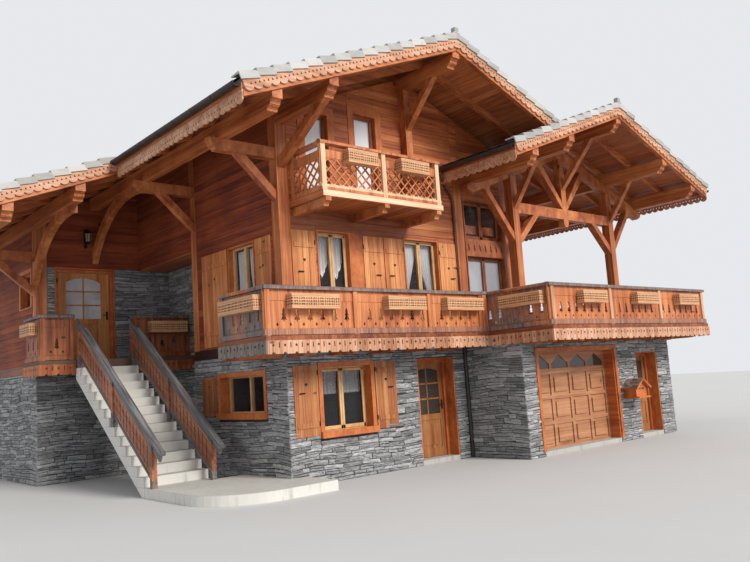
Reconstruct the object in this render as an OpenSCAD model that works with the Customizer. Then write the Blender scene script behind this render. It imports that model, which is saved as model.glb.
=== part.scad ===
/* [Storeys] */
// Height of the first floor above the ground
first_z = 2685; // [2500:5:2900]
// Height of the attic floor above the ground
attic_z = 5285; // [5100:5:5500]
// Thickness of the floor slab inside the ground storey
ground_t = 100; // [80:5:140]
// Thickness of the upper floors
floor_t = 200; // [160:5:240]

/* [Walls] */
// Width of the main house between its side walls
main_w = 6720; // [6400:10:7000]
// Depth of the main house from front wall to back wall
main_d = 10800; // [10200:10:11400]
// Thickness of the stone walls
stone_t = 450; // [400:10:500]
// Thickness of the timber walls
timber_t = 180; // [140:5:220]
// Side of the square timber posts
post_w = 250; // [220:5:280]
// Width of the side wing beside the main house
wing_w = 2450; // [2200:10:2700]
// Distance of the entrance wall behind the front wall
entry_y = 6300; // [6000:10:6600]
// Height of the stone part of the entrance storey above its floor
porch_stone_h = 2215; // [2150:5:2300]
// Depth of the open recess beside the stair, cut into the main house
recess_w = 800; // [700:10:900]
// Distance of that recess behind the front wall
recess_y = 3500; // [3300:10:3700]

/* [Garage] */
// Distance of the garage wall from the left corner of the main house
garage_x = 4790; // [4700:10:4900]
// Width of the garage block
garage_w = 5960; // [5700:10:6200]
// How far the garage stands in front of the main house
garage_out = 1590; // [1400:10:1800]
// Depth of the garage block
garage_d = 6500; // [6200:10:6800]

/* [Doors] */
// Distance of the front door from the left corner
front_door_x = 3268; // [3200:2:3400]
// Width of the front door with its frame
front_door_w = 1120; // [1050:5:1150]
// Top of the front door above the ground
front_door_top = 2208; // [2150:2:2260]
// Distance of the garage door from the garage corner
garage_door_x = 500; // [460:5:600]
// Width of the garage door with its frame
garage_door_w = 2922; // [2800:2:3000]
// Top of the garage door above the ground
garage_door_top = 2195; // [2100:5:2260]
// Distance of the side door from the garage corner
side_door_x = 4366; // [4300:2:4400]
// Width of the side door with its frame
side_door_w = 990; // [950:5:1010]
// Top of the side door above the ground
side_door_top = 2072; // [2040:2:2150]
// Distance of the entrance door from the outer corner of the wing
entry_door_x = 420; // [400:5:480]
// Width of the entrance door with its frame
entry_door_w = 1410; // [1350:5:1450]
// Width of a door frame beside the leaf
jamb_w = 85; // [75:1:100]
// Depth of a door frame
jamb_d = 120; // [115:1:140]
// Thickness of a door leaf
leaf_t = 60; // [50:1:64]
// Running gap around a door leaf
leaf_gap = 8; // [6:0.5:9]
// Setback of the door frames from the wall face
door_setback = 250; // [120:5:280]

/* [Balconies] */
// Projection of the balcony in front of the main house
balcony_out = 830; // [760:5:900]
// Projection of the balcony beside the main house
balcony_side_out = 940; // [860:5:1000]
// Length of the balcony along the side wall
balcony_side_len = 760; // [700:5:900]
// Projection of the terrace in front of the garage
terrace_out = 885; // [800:5:960]
// Projection of the terrace beside the garage
terrace_side_out = 573; // [500:5:640]
// Thickness of the balcony decks
deck_t = 180; // [150:5:200]
// Height of the handrails above the deck
rail_h = 879; // [850:1:950]
// Height of the fretted skirt
skirt_h = 229; // [200:1:260]
// Left end of the upper balcony
upper_x = 267; // [250:1:300]
// Length of the upper balcony
upper_w = 3080; // [2900:10:3150]
// Projection of the upper balcony
upper_out = 1047; // [950:1:1150]
// Height of the upper balustrade
upper_rail_h = 956; // [900:1:1000]

/* [Stair] */
// Height of the landing's handrails
landing_rail_h = 1000; // [900:10:1050]
// Number of risers from the ground to the landing
risers = 15; // [14:1:16]
// Depth of one tread
going = 256; // [245:1:275]
// Left face of the stair beside the main house
stair_x = 1970; // [1900:10:2050]
// Width of the stair
stair_w = 1300; // [1200:10:1350]
// Thickness of the stair slab below the treads
waist = 190; // [160:5:220]
// Depth of the landing in front of the entrance wall
landing_d = 1120; // [1050:10:1200]

/* [Main roof] */
// Top of the main ridge above the ground
ridge_z = 8670; // [8500:10:8800]
// Fall of the main roof for one unit of run
main_fall = 0.39; // [0.36:0.005:0.42]
// Overhang of the main roof at the eaves
eave_out = 1776; // [1650:2:1900]
// Overhang of the main roof at the front gable
gable_out = 1764; // [1650:2:1900]
// Overhang of the roofs at the back
back_out = 900; // [800:10:1000]
// Front of the wing roof behind the front wall
wing_roof_y = 3200; // [3000:10:3400]
// Vertical thickness of the roof covering with its boards
cover_t = 160; // [130:5:190]
// Depth of the rafters
rafter_d = 140; // [120:5:160]
// Width of the rafters
rafter_w = 100; // [80:5:120]
// Spacing of the rafters
rafter_gap = 950; // [850:10:1100]
// Width of the purlins
purlin_w = 200; // [180:5:220]
// Depth of the purlins
purlin_d = 280; // [240:5:300]

/* [Terrace roof] */
// Distance of the terrace ridge from the left corner of the main house
terrace_ridge_x = 8577; // [8500:1:8650]
// Top of the terrace ridge above the ground
terrace_ridge_z = 8055; // [8000:5:8100]
// Fall of the terrace roof for one unit of run
terrace_fall = 0.375; // [0.36:0.005:0.39]
// Half the width of the terrace roof
terrace_half = 4178; // [4100:2:4250]
// Distance of the terrace roof front from the main front wall
terrace_front = 2210; // [2100:5:2300]
// Half the distance between the terrace posts
truss_half = 2057; // [2000:1:2100]
// Distance of the front truss before the main front wall
truss_out = 329; // [300:1:360]
// Underside of the tie beam above the ground
tie_z = 5574; // [5500:2:5650]

/* [Hidden] */
$fn = 48;

// A small overlap that lets a cut pass a face
cut = 1;

// Slanting timbers and boards lie this far apart
seat = 0.5;

// Levels that follow from the storeys
stone_top = first_z - floor_t;
attic_under = attic_z - floor_t;
porch_top = first_z + porch_stone_h;
rail_top = first_z + rail_h;

// Lines on the plan, measured from the front left corner of the main house
ridge_x = main_w / 2;
garage_right = garage_x + garage_w;
garage_back = garage_d - garage_out;
terrace_back = garage_back + 690;
terrace_front_y = -garage_out - terrace_out;
terrace_right_x = garage_right + terrace_side_out;
terrace_left_x = garage_x - 50;
landing_y = entry_y - landing_d;
landing_x = -wing_w - 270;
stair_right = -stair_x + stair_w;
bay_post_x = garage_x + 35;
side_post_y = recess_y - post_w;

// Levels of the roof planes
function main_z(x) = ridge_z - main_fall * abs(x - ridge_x);
function terrace_z(x) = terrace_ridge_z - terrace_fall * abs(x - terrace_ridge_x);
roof_stack = cover_t + rafter_d;

// What lies between two depths under the main roof, or under the terrace roof, from x0 to x1
module under_main(x0, x1, high, low) {
  polygon([[x0, main_z(x0) - low], [x1, main_z(x1) - low], [x1, main_z(x1) - high], [x0, main_z(x0) - high]]);
}

module under_terrace(x0, x1, high, low) {
  polygon([
    [x0, terrace_z(x0) - low], [x1, terrace_z(x1) - low],
    [x1, terrace_z(x1) - high], [x0, terrace_z(x0) - high]
  ]);
}

main_left = -eave_out;
wing_left = -wing_w - 1850;
main_right = main_w + eave_out;
terrace_left = terrace_ridge_x - terrace_half;
terrace_right = terrace_ridge_x + terrace_half;
roof_back = main_d + back_out;

// Where the two roofs meet
valley_x = (ridge_z + main_fall * ridge_x - terrace_ridge_z + terrace_fall * terrace_ridge_x)
  / (main_fall + terrace_fall);
valley_under_x = valley_x - cover_t / (main_fall + terrace_fall);

// Purlin centres: outer left, left wall, ridge, right wall
outer_purlin_x = -1080;
wall_purlin_x = 125;
right_purlin_x = main_w - 125;
wing_wall_purlin_x = -wing_w - 50;
wing_outer_purlin_x = -wing_w - 1400;
terrace_outer_off = 3450;
right_purlin_drop = 100;

// Places the plan's corner so that the origin is under the middle of the main house
module place() {
  translate([-main_w / 2, -main_d / 2, 0])
  children();
}

module box(x0, x1, y0, y1, z0, z1) {
  translate([x0, y0, z0])
  cube([x1 - x0, y1 - y0, z1 - z0]);
}

// Draws a profile of x and z values and runs it from y0 to y1
module run_y(y0, y1) {
  translate([0, y1, 0])
  rotate([90, 0, 0])
  linear_extrude(y1 - y0)
  children();
}

// Draws a profile of y and z values and runs it from x0 to x1
module run_x(x0, x1) {
  translate([x0, 0, 0])
  rotate([90, 0, 90])
  linear_extrude(x1 - x0)
  children();
}

// Faces: a child's x runs along the wall, y goes into it and z is up
module on_front(x, y) {
  translate([x, y, 0])
  children();
}

module on_left(x, y) {
  translate([x, y, 0])
  rotate([0, 0, -90])
  children();
}

module on_right(x, y) {
  translate([x, y, 0])
  rotate([0, 0, 90])
  children();
}

module on_back(x, y) {
  translate([x, y, 0])
  rotate([0, 0, 180])
  children();
}

// Windows: places, sill heights, widths and heights

window_t = 70;
pane_t = 12;
frame_w = 60;
lining_t = 30;
casing_t = 25;
sill_out = 90;
sill_t = 120;
sill_up = 45;
sill_over = 10;
stone_setback = 200;
timber_setback = 90;
ground_window = [743, 893, 1261, 1270];
low_window = [2450, 1310, 1700, 790];
side_window = [1900, 1000, 2000];
wing_window = [entry_y + 1100, first_z + 1300, 820, 860];
left_window = [830, 830];
middle_window = [3130, 1040];
french_h = 2100;
attic_windows = [[650, 1900], [1930, 2075]];
attic_window_w = 640;
attic_casing = 130;
bay_x = bay_post_x + post_w + 20;
bay_w = main_w - post_w - 25 - bay_x;
bay_low_h = 1850;
bay_band_h = 350;
bay_high_h = 950;
rear_window = [1000, 900, 1200];
attic_rear_h = 1000;
right_window = [900, 1800];
rear_window_xs = [main_w - 720, main_w * 0.58, main_w * 0.12];

module each_front_window() {
  on_front(ground_window[0], 0)
  opening(ground_window[2], ground_window[1], ground_window[3], stone_t, stone_setback, frame_w);
  on_front(left_window[0], 0)
  opening(left_window[1], first_z, french_h, timber_t, timber_setback);
  on_front(middle_window[0], 0)
  opening(middle_window[1], first_z, french_h, timber_t, timber_setback);
  for (place = attic_windows)
    on_front(place[0], 0)
    opening(attic_window_w, attic_z, place[1], timber_t, timber_setback, attic_casing, 1);
  on_front(bay_x, 0)
  opening(bay_w, first_z, bay_low_h, timber_t, timber_setback);
  on_front(bay_x, 0)
  opening(bay_w, first_z + bay_low_h + bay_band_h, bay_high_h, timber_t, timber_setback);
}

module each_left_window() {
  on_left(0, low_window[0])
  opening(low_window[2], low_window[1], low_window[3], stone_t, stone_setback, frame_w);
  on_left(0, side_window[0])
  opening(side_window[1], first_z, side_window[2], timber_t, timber_setback);
  on_left(-wing_w, wing_window[0])
  opening(wing_window[2], wing_window[1], wing_window[3], timber_t, timber_setback, frame_w);
}

module each_right_window() {
  on_right(main_w, right_window[0])
  opening(right_window[1], first_z, french_h, timber_t, timber_setback);
  on_right(main_w, main_d * 0.7)
  opening(rear_window[0], first_z + rear_window[1], rear_window[2], timber_t, timber_setback, frame_w);
}

module each_back_window() {
  for (x = rear_window_xs)
    on_back(x, main_d)
    opening(rear_window[0], first_z + rear_window[1], rear_window[2], timber_t, timber_setback, frame_w);
  on_back(rear_window_xs[1], main_d)
  opening(rear_window[0], attic_z + rear_window[1], attic_rear_h, timber_t, timber_setback, frame_w);
}

// What stands for one opening: a hole, a frame or glass
module opening(w, sill, h, wall, setback, casing = 0, lights = 2) {
  if ($part == "hole")
    translate([0, -cut, sill])
    cube([w, wall + 2 * cut, h]);
  if ($part == "frame")
    window_frame(w, sill, h, setback, casing, lights);
  if ($part == "glass")
    window_pane(w, sill, h, setback, lights);
}

// The casements, the boards that line the reveal and the boards around it
module window_frame(w, sill, h, setback, casing, lights) {
  translate([0, 0, sill]) {
    difference() {
      translate([0, setback, 0])
      cube([w, window_t, h]);
      for (i = [0 : lights - 1])
        translate([frame_w + i * (w - frame_w) / lights, setback - cut, frame_w])
        cube([(w - frame_w) / lights - frame_w, window_t + 2 * cut, h - 2 * frame_w]);
    }
    difference() {
      union() {
        translate([0, -casing_t, 0])
        cube([w, setback + casing_t + cut, h]);
        translate([-casing, -casing_t, 0])
        cube([w + 2 * casing, casing_t, h + casing]);
      }
      translate([lining_t, -casing_t - cut, lining_t])
      cube([w - 2 * lining_t, setback + casing_t + 3 * cut, h - 2 * lining_t]);
    }
    if (setback == stone_setback)
      translate([-casing - sill_over, -sill_out, sill_up - sill_t])
      cube([w + 2 * casing + 2 * sill_over, sill_out, sill_t]);
  }
}

module window_pane(w, sill, h, setback, lights) {
  for (i = [0 : lights - 1])
    translate([frame_w + i * (w - frame_w) / lights, setback + (window_t - pane_t) / 2, sill + frame_w])
    cube([(w - frame_w) / lights - frame_w, pane_t, h - 2 * frame_w]);
}

module all_windows() {
  each_front_window();
  each_left_window();
  each_right_window();
  each_back_window();
}

module window_holes() {
  $part = "hole";
  all_windows();
}

module window_frames() {
  $part = "frame";
  color("sienna")
  place() {
    all_windows();
    bay_band();
  }
}

// The pierced board between the two windows of the bay
module bay_band() {
  count = 7;
  step = bay_w / count;
  translate([bay_x, 0, first_z + bay_low_h])
  run_y(-casing_t, 0)
  difference() {
    square([bay_w, bay_band_h]);
    for (i = [0 : count - 1])
      translate([(i + 0.5) * step, bay_band_h * 0.25])
      fir(bay_band_h * 0.5);
  }
}

module window_glass() {
  $part = "glass";
  color("lightblue")
  place()
  all_windows();
}

// Stone storey

module ground_slab() {
  inner = stone_t;
  color("darkgray")
  place() {
    threshold(front_door_x, front_door_w, 0);
    threshold(garage_x + garage_door_x, garage_door_w, -garage_out);
    threshold(garage_x + side_door_x, side_door_w, -garage_out);
    linear_extrude(ground_t)
    polygon([
      [inner, inner],
      [garage_x + inner, inner],
      [garage_x + inner, inner - garage_out],
      [garage_right - inner, inner - garage_out],
      [garage_right - inner, garage_back - inner],
      [main_w - inner, garage_back - inner],
      [main_w - inner, main_d - inner],
      [inner - wing_w, main_d - inner],
      [inner - wing_w, entry_y + inner],
      [recess_w + inner, entry_y + inner],
      [recess_w + inner, recess_y - inner],
      [inner, recess_y - inner]
    ]);
  }
}

// The slab in a doorway that starts at x, from the wall face at y inwards
module threshold(x, w, y) {
  box(x, x + w, y, y + stone_t + cut, 0, ground_t);
}

module front_stone_walls() {
  garage_front = -garage_out;
  color("slategray")
  place()
  difference() {
    union() {
      box(0, front_door_x, 0, stone_t, 0, stone_top);
      box(front_door_x + front_door_w, garage_x, 0, stone_t, 0, stone_top);
      box(garage_x, garage_x + garage_door_x, garage_front, garage_front + stone_t, 0, stone_top);
      box(garage_x + garage_door_x + garage_door_w, garage_x + side_door_x,
        garage_front, garage_front + stone_t, 0, stone_top);
      box(garage_x + side_door_x + side_door_w, garage_right,
        garage_front, garage_front + stone_t, 0, stone_top);
      box(0, recess_w + stone_t, recess_y - stone_t, recess_y, 0, stone_top);
      box(-wing_w, recess_w + stone_t, entry_y, entry_y + stone_t, 0, stone_top);
      box(-wing_w + entry_door_x + entry_door_w, recess_w, entry_y, entry_y + stone_t, first_z, porch_top);
      box(-wing_w + post_w, -wing_w + entry_door_x, entry_y, entry_y + stone_t, first_z, porch_top);
    }
    window_holes();
  }
}

module side_stone_walls() {
  color("slategray")
  place()
  difference() {
    union() {
      box(0, stone_t, stone_t, recess_y - stone_t, 0, stone_top);
      box(recess_w, recess_w + stone_t, recess_y, entry_y, 0, stone_top);
      box(recess_w, recess_w + stone_t, recess_y, entry_y + stone_t, first_z, porch_top);
      box(-wing_w, stone_t - wing_w, entry_y + stone_t, main_d - stone_t, 0, stone_top);
      box(garage_x, garage_x + stone_t, stone_t - garage_out, stone_t, 0, stone_top);
      box(garage_right - stone_t, garage_right, stone_t - garage_out, garage_back - stone_t, 0, stone_top);
      box(main_w - stone_t, main_w, garage_back, main_d - stone_t, 0, stone_top);
    }
    window_holes();
  }
}

module back_stone_walls() {
  color("slategray")
  place() {
    box(-wing_w, main_w, main_d - stone_t, main_d, 0, stone_top);
    box(main_w - stone_t, garage_right, garage_back - stone_t, garage_back, 0, stone_top);
  }
}

module stone_lintels() {
  garage_front = -garage_out;
  color("slategray")
  place() {
    box(front_door_x, front_door_x + front_door_w, 0, stone_t, front_door_top, stone_top);
    box(garage_x + garage_door_x, garage_x + garage_door_x + garage_door_w,
      garage_front, garage_front + stone_t, garage_door_top, stone_top);
    box(garage_x + side_door_x, garage_x + side_door_x + side_door_w,
      garage_front, garage_front + stone_t, side_door_top, stone_top);
  }
}

// Floors

module first_floor() {
  color("tan")
  place()
  translate([0, 0, stone_top])
  linear_extrude(floor_t)
  polygon([
    [0, 0],
    [main_w, 0],
    [main_w, main_d],
    [-wing_w, main_d],
    [-wing_w, entry_y],
    [recess_w, entry_y],
    [recess_w, recess_y],
    [0, recess_y]
  ]);
}

module terrace_floor() {
  color("darkgray")
  place()
  translate([0, 0, stone_top])
  linear_extrude(floor_t)
  polygon([
    [garage_x, -garage_out],
    [garage_right, -garage_out],
    [garage_right, garage_back],
    [main_w, garage_back],
    [main_w, 0],
    [garage_x, 0]
  ]);
}

module attic_floor() {
  color("tan")
  place()
  difference() {
    box(timber_t, main_w - timber_t, timber_t, main_d - timber_t, attic_under, attic_z);
    post_bodies();
  }
}

// Timber storeys

// The outline of a wall under the roof, from x0 to x1 and from the floor up
module gable_outline(x0, x1, z0) {
  polygon(concat(
    [[x0, z0], [x1, z0], [x1, main_z(x1) - roof_stack]],
    x1 > ridge_x && x0 < ridge_x ? [[ridge_x, ridge_z - roof_stack]] : [],
    [[x0, main_z(x0) - roof_stack]]
  ));
}

module front_timber_wall() {
  color("peru")
  place()
  difference() {
    run_y(0, timber_t)
    gable_outline(post_w, main_w - post_w, first_z);
    window_holes();
    box(bay_post_x, bay_post_x + post_w, -cut, timber_t + cut, first_z - cut, terrace_z(bay_post_x) - roof_stack);
    purlin_notches();
  }
}

module left_timber_walls() {
  wall_top = main_z(0) - roof_stack;
  color("saddlebrown")
  place()
  difference() {
    union() {
      box(0, timber_t, post_w, side_post_y, first_z, wall_top);
      box(0, timber_t, side_post_y + post_w, entry_y, porch_top, wall_top);
    }
    window_holes();
    purlin_notches();
  }
}

module right_timber_wall() {
  wall_top = main_purlin_top(main_w) - right_purlin_drop;
  color("saddlebrown")
  place()
  difference() {
    box(main_w - timber_t, main_w, post_w, main_d - timber_t, first_z, wall_top);
    window_holes();
    purlin_notches();
  }
}

module back_timber_wall() {
  color("saddlebrown")
  place()
  difference() {
    run_y(main_d - timber_t, main_d)
    gable_outline(-wing_w, main_w, first_z);
    window_holes();
    purlin_notches();
  }
}

module wing_timber_walls() {
  color("saddlebrown")
  place()
  difference() {
    union() {
      box(-wing_w, timber_t - wing_w, entry_y + post_w, main_d - timber_t, first_z, main_z(-wing_w) - roof_stack);
      run_y(entry_y, entry_y + timber_t)
      gable_outline(-wing_w + post_w, 0, porch_top);
    }
    window_holes();
    purlin_notches();
  }
}

module post_bodies() {
  for (y = [0, side_post_y])
    box(0, post_w, y, y + post_w, first_z, main_z(0) - roof_stack);
  box(main_w - post_w, main_w, 0, post_w, first_z, main_z(main_w) - roof_stack);
  box(bay_post_x, bay_post_x + post_w, 0, post_w, first_z, terrace_z(bay_post_x) - roof_stack);
  box(-wing_w, post_w - wing_w, entry_y, entry_y + post_w, first_z, main_z(-wing_w) - roof_stack);
}

module corner_posts() {
  color("sienna")
  place()
  difference() {
    post_bodies();
    purlin_notches();
  }
}

// Decks

module balcony_deck() {
  z0 = first_z - deck_t;
  color("peru")
  place()
  translate([0, 0, z0])
  linear_extrude(deck_t)
  polygon([
    [-balcony_side_out, -balcony_out],
    [terrace_left_x, -balcony_out],
    [terrace_left_x, terrace_front_y],
    [terrace_right_x, terrace_front_y],
    [terrace_right_x, garage_back],
    [garage_right, garage_back],
    [garage_right, -garage_out],
    [garage_x, -garage_out],
    [garage_x, 0],
    [0, 0],
    [0, balcony_side_len],
    [-balcony_side_out, balcony_side_len]
  ]);
}

upper_deck_t = 120;
module upper_deck() {
  color("peru")
  place()
  box(upper_x, upper_x + upper_w, -upper_out, 0, attic_z - upper_deck_t, attic_z);
}

module landing() {
  color("lightgray")
  place()
  box(landing_x, recess_w, landing_y, entry_y, stone_top, first_z);
}

joist_w = 120;
joist_d = 160;
module joist(x, z, y0, y1) {
  run_x(x, x + joist_w)
  difference() {
    translate([y0, z])
    square([y1 - y0, joist_d]);
    translate([y0, z])
    circle(joist_d * 0.55);
  }
}

module deck_joists() {
  z0 = first_z - deck_t - joist_d;
  margin = 60;
  color("sienna")
  place() {
    for (x = [margin : rafter_gap : garage_x - 2 * joist_w])
      joist(x, z0, -balcony_out + margin, 0);
    for (y = [margin, balcony_side_len - joist_w])
      box(margin - balcony_side_out, 0, y, y + joist_w, z0, z0 + joist_d);
    for (x = [garage_x + joist_w : rafter_gap : garage_right - joist_w])
      joist(x, z0, terrace_front_y + margin, -garage_out);
    for (y = [joist_w - garage_out : rafter_gap : garage_back - 2 * joist_w])
      box(garage_right, terrace_right_x - margin, y, y + joist_w, z0, z0 + joist_d);
    for (x = [upper_x + margin, upper_x + (upper_w - joist_w) / 2, upper_x + upper_w - margin - joist_w])
      joist(x, attic_z - upper_deck_t - joist_d, -upper_out, 0);
  }
}

skirt_t = 25;
skirt_pitch = 237;
skirt_drop = 82;
skirt_hole = 24;

// A pierced and notched board of that length, hung in front of the child's x axis
module skirt(len) {
  count = round(len / skirt_pitch);
  step = len / count;
  translate([0, 0, first_z - skirt_drop - skirt_h])
  run_y(-skirt_t, 0)
  difference() {
    square([len, skirt_h]);
    for (i = [0 : count - 1]) {
      translate([(i + 0.5) * step, skirt_h * 0.64])
      circle(skirt_hole);
      translate([(i + 0.5) * step, 0])
      circle(skirt_hole * 1.4);
      if (i > 0)
        translate([i * step - skirt_hole / 2, skirt_h * 0.45])
        square([skirt_hole, skirt_h * 0.4]);
    }
  }
}

module deck_skirts() {
  color("burlywood")
  place() {
    on_front(-balcony_side_out, -balcony_out)
    skirt(terrace_left_x + balcony_side_out - skirt_t);
    on_left(-balcony_side_out, balcony_side_len)
    skirt(balcony_side_len + balcony_out + skirt_t);
    on_left(terrace_left_x, -balcony_out)
    skirt(-balcony_out - terrace_front_y);
    on_front(terrace_left_x - skirt_t, terrace_front_y)
    skirt(terrace_right_x - terrace_left_x + skirt_t);
    on_right(terrace_right_x, terrace_front_y - skirt_t)
    skirt(garage_back - terrace_front_y + skirt_t);
    on_front(landing_x, landing_y)
    skirt(-stair_x - landing_x);
    on_front(stair_right, landing_y)
    skirt(recess_w - stair_right);
    on_left(landing_x, entry_y)
    skirt(landing_d + skirt_t);
  }
}

// Balustrades

rail_w = 150;
rail_t = 75;
rail_crown = 110;
band_t = 45;
band_h = 150;
band_drop = 124;
upper_band_drop = 181;
board_t = 27;
log_r = 66;
log_h = 120;
log_w = 100;
baluster_post = 100;
post_in = 20;
fir_pitch = 280;
fir_foot = 245;
fir_h = 250;
drop_foot = 190;
drop_r = 22;
lattice_pitch = 200;
lattice_bar = 24;
lattice_edge = 20;
rail_in = rail_w / 2;
band_in = rail_in - band_t / 2;

// Shapes cut from the boards: a fir tree, a drop and a heart
module fir(h) {
  w = h * 0.24;
  half = [
    [w * 0.16, 0], [w * 0.16, h * 0.12], [w, h * 0.12], [w * 0.4, h * 0.42],
    [w * 0.8, h * 0.42], [w * 0.3, h * 0.7], [w * 0.6, h * 0.7]
  ];
  polygon(concat(half, [[0, h]], [for (i = [len(half) - 1 : -1 : 0]) [-half[i][0], half[i][1]]]));
}

module drop(r) {
  circle(r);
  polygon([[-r * 0.866, r / 2], [r * 0.866, r / 2], [0, 2 * r]]);
}

module heart(side) {
  rotate(45) {
    square(side);
    translate([side / 2, side])
    circle(side / 2);
    translate([side, side / 2])
    circle(side / 2);
  }
}

// True where no post stands near x
function clear_of(posts, x) = len([for (p = posts) if (abs(x - p - baluster_post / 2) < 120) p]) == 0;

module fir_panel(length, top, posts) {
  count = max(1, round(length / fir_pitch));
  step = length / count;
  difference() {
    translate([0, log_h - 10])
    square([length, top - log_h + 10]);
    for (i = [0 : count - 1]) {
      if (clear_of(posts, (i + 0.5) * step))
        translate([(i + 0.5) * step, fir_foot])
        fir(fir_h);
      if (i > 0 && clear_of(posts, i * step))
        translate([i * step, drop_foot])
        drop(drop_r);
    }
  }
}

module lattice_panel(length, top) {
  half = lattice_pitch / 2;
  side = half * sqrt(2) - lattice_bar;
  foot = log_h - 10;
  difference() {
    translate([0, foot])
    square([length, top - foot]);
    intersection() {
      translate([lattice_edge, foot + lattice_edge])
      square([length - 2 * lattice_edge, top - foot - 2 * lattice_edge]);
      for (i = [0 : length / half], j = [0 : (top - foot) / half])
        if ((i + j) % 2 == 0)
          translate([i * half, foot + j * half])
          rotate(45)
          square(side, center = true);
    }
  }
}

// One run between posts, standing on the deck with its middle on the x axis
module balustrade(length, h, posts, lattice = false) {
  band_z = h - (lattice ? upper_band_drop : band_drop) - band_h;
  run_x(0, length) {
    intersection() {
      translate([-rail_w / 2, h - rail_t])
      square([rail_w, rail_t]);
      translate([0, h - rail_crown])
      circle(rail_crown);
    }
    translate([-band_t / 2, band_z])
    square([band_t, band_h]);
    intersection() {
      translate([0, log_h / 2])
      circle(log_r);
      translate([-log_w / 2, 0])
      square([log_w, log_h]);
    }
  }
  run_y(-board_t / 2, board_t / 2)
  if (lattice)
    lattice_panel(length, band_z + cut);
  else
    fir_panel(length, h - rail_t + cut, posts);
  for (x = posts)
    translate([x, -baluster_post / 2, 0])
    cube([baluster_post, baluster_post, h - rail_t + cut]);
}

module front_balustrades() {
  front_len = terrace_left_x + balcony_side_out - rail_w;
  front_bay = (front_len + rail_w + baluster_post) / 3;
  terrace_len = terrace_right_x - terrace_left_x;
  terrace_in = 70;
  terrace_bay = (terrace_len - baluster_post - 2 * terrace_in) / 3;
  color("chocolate")
  place() {
    on_front(-balcony_side_out, -balcony_out + rail_in)
    translate([0, 0, first_z])
    balustrade(front_len, rail_h,
      [post_in, post_in + front_bay, post_in + 2 * front_bay, front_len - baluster_post - post_in]);
    on_front(terrace_left_x, terrace_front_y + rail_in)
    translate([0, 0, first_z])
    balustrade(terrace_len, rail_h, [for (i = [0 : 3]) terrace_in + i * terrace_bay]);
  }
}

module side_balustrades() {
  side_len = balcony_side_len + balcony_out - rail_w;
  inner_len = terrace_out + garage_out - balcony_out;
  right_len = garage_back - terrace_front_y - rail_w;
  right_bay = (right_len - post_in) / 3;
  color("dimgray")
  place() {
    on_left(-balcony_side_out + rail_in, balcony_side_len)
    translate([0, 0, first_z])
    balustrade(side_len, rail_h, [post_in]);
    on_left(terrace_left_x + rail_in, -balcony_out + rail_w)
    translate([0, 0, first_z])
    balustrade(inner_len, rail_h, []);
    on_right(terrace_right_x - rail_in, terrace_front_y + rail_w)
    translate([0, 0, first_z])
    balustrade(right_len, rail_h, [right_bay, 2 * right_bay, right_len - baluster_post - post_in]);
  }
}

module upper_balustrade() {
  color("chocolate")
  place() {
    on_front(upper_x, -upper_out + rail_in)
    translate([0, 0, attic_z])
    balustrade(upper_w, upper_rail_h,
      [post_in, (upper_w - baluster_post) / 2, upper_w - baluster_post - post_in], true);
  }
}

module upper_side_balustrades() {
  color("chocolate")
  place() {
    for (x = [upper_x + rail_in, upper_x + upper_w - rail_in])
      on_left(x, 0)
      translate([0, 0, attic_z])
      balustrade(upper_out - rail_w, upper_rail_h, [0], true);
  }
}

module landing_balustrades() {
  left_len = -stair_x - landing_x;
  color("chocolate")
  place() {
    on_front(landing_x, landing_y + rail_in)
    translate([0, 0, first_z])
    balustrade(left_len, landing_rail_h, [post_in, left_len - baluster_post - post_in / 2]);
    on_front(stair_right, landing_y + rail_in)
    translate([0, 0, first_z])
    balustrade(recess_w - stair_right, landing_rail_h, [post_in / 2]);
  }
}

module landing_side_balustrade() {
  color("chocolate")
  place()
  on_left(landing_x + rail_in, entry_y)
  translate([0, 0, first_z])
  balustrade(landing_d - rail_w, landing_rail_h, []);
}

// Stair

riser = first_z / risers;
flight_y = landing_y - (risers - 1) * going;
module stair_flight() {
  pitch = riser / going;
  steps = [for (i = [1 : risers - 1]) each [
    [flight_y + (i - 1) * going, i * riser],
    [flight_y + i * going, i * riser]
  ]];
  color("gainsboro")
  place()
  run_x(-stair_x, stair_right)
  polygon(concat(
    [[flight_y, 0]],
    steps,
    [
      [landing_y, stone_top],
      [landing_y, (risers - 1) * riser - waist * 1.22],
      [flight_y + waist * 1.22 / pitch, 0]
    ]
  ));
}

module bottom_step() {
  radius = 1150;
  front = -950;
  turn = 7.5;
  color("gainsboro")
  place()
  linear_extrude(riser)
  polygon(concat(
    [for (angle = [180 : turn : 270])
      [radius - stair_x + radius * cos(angle), front + radius + radius * sin(angle)]],
    [
      [front_door_x / 11, front], [front_door_x / 11, 0], [0, 0],
      [0, flight_y], [-stair_x, flight_y]
    ]
  ));
}

stair_rail_h = 900;
stair_rail_r = 70;
stair_rail_cut = 30;
stair_board = 150;
stair_slot = 32;

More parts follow.
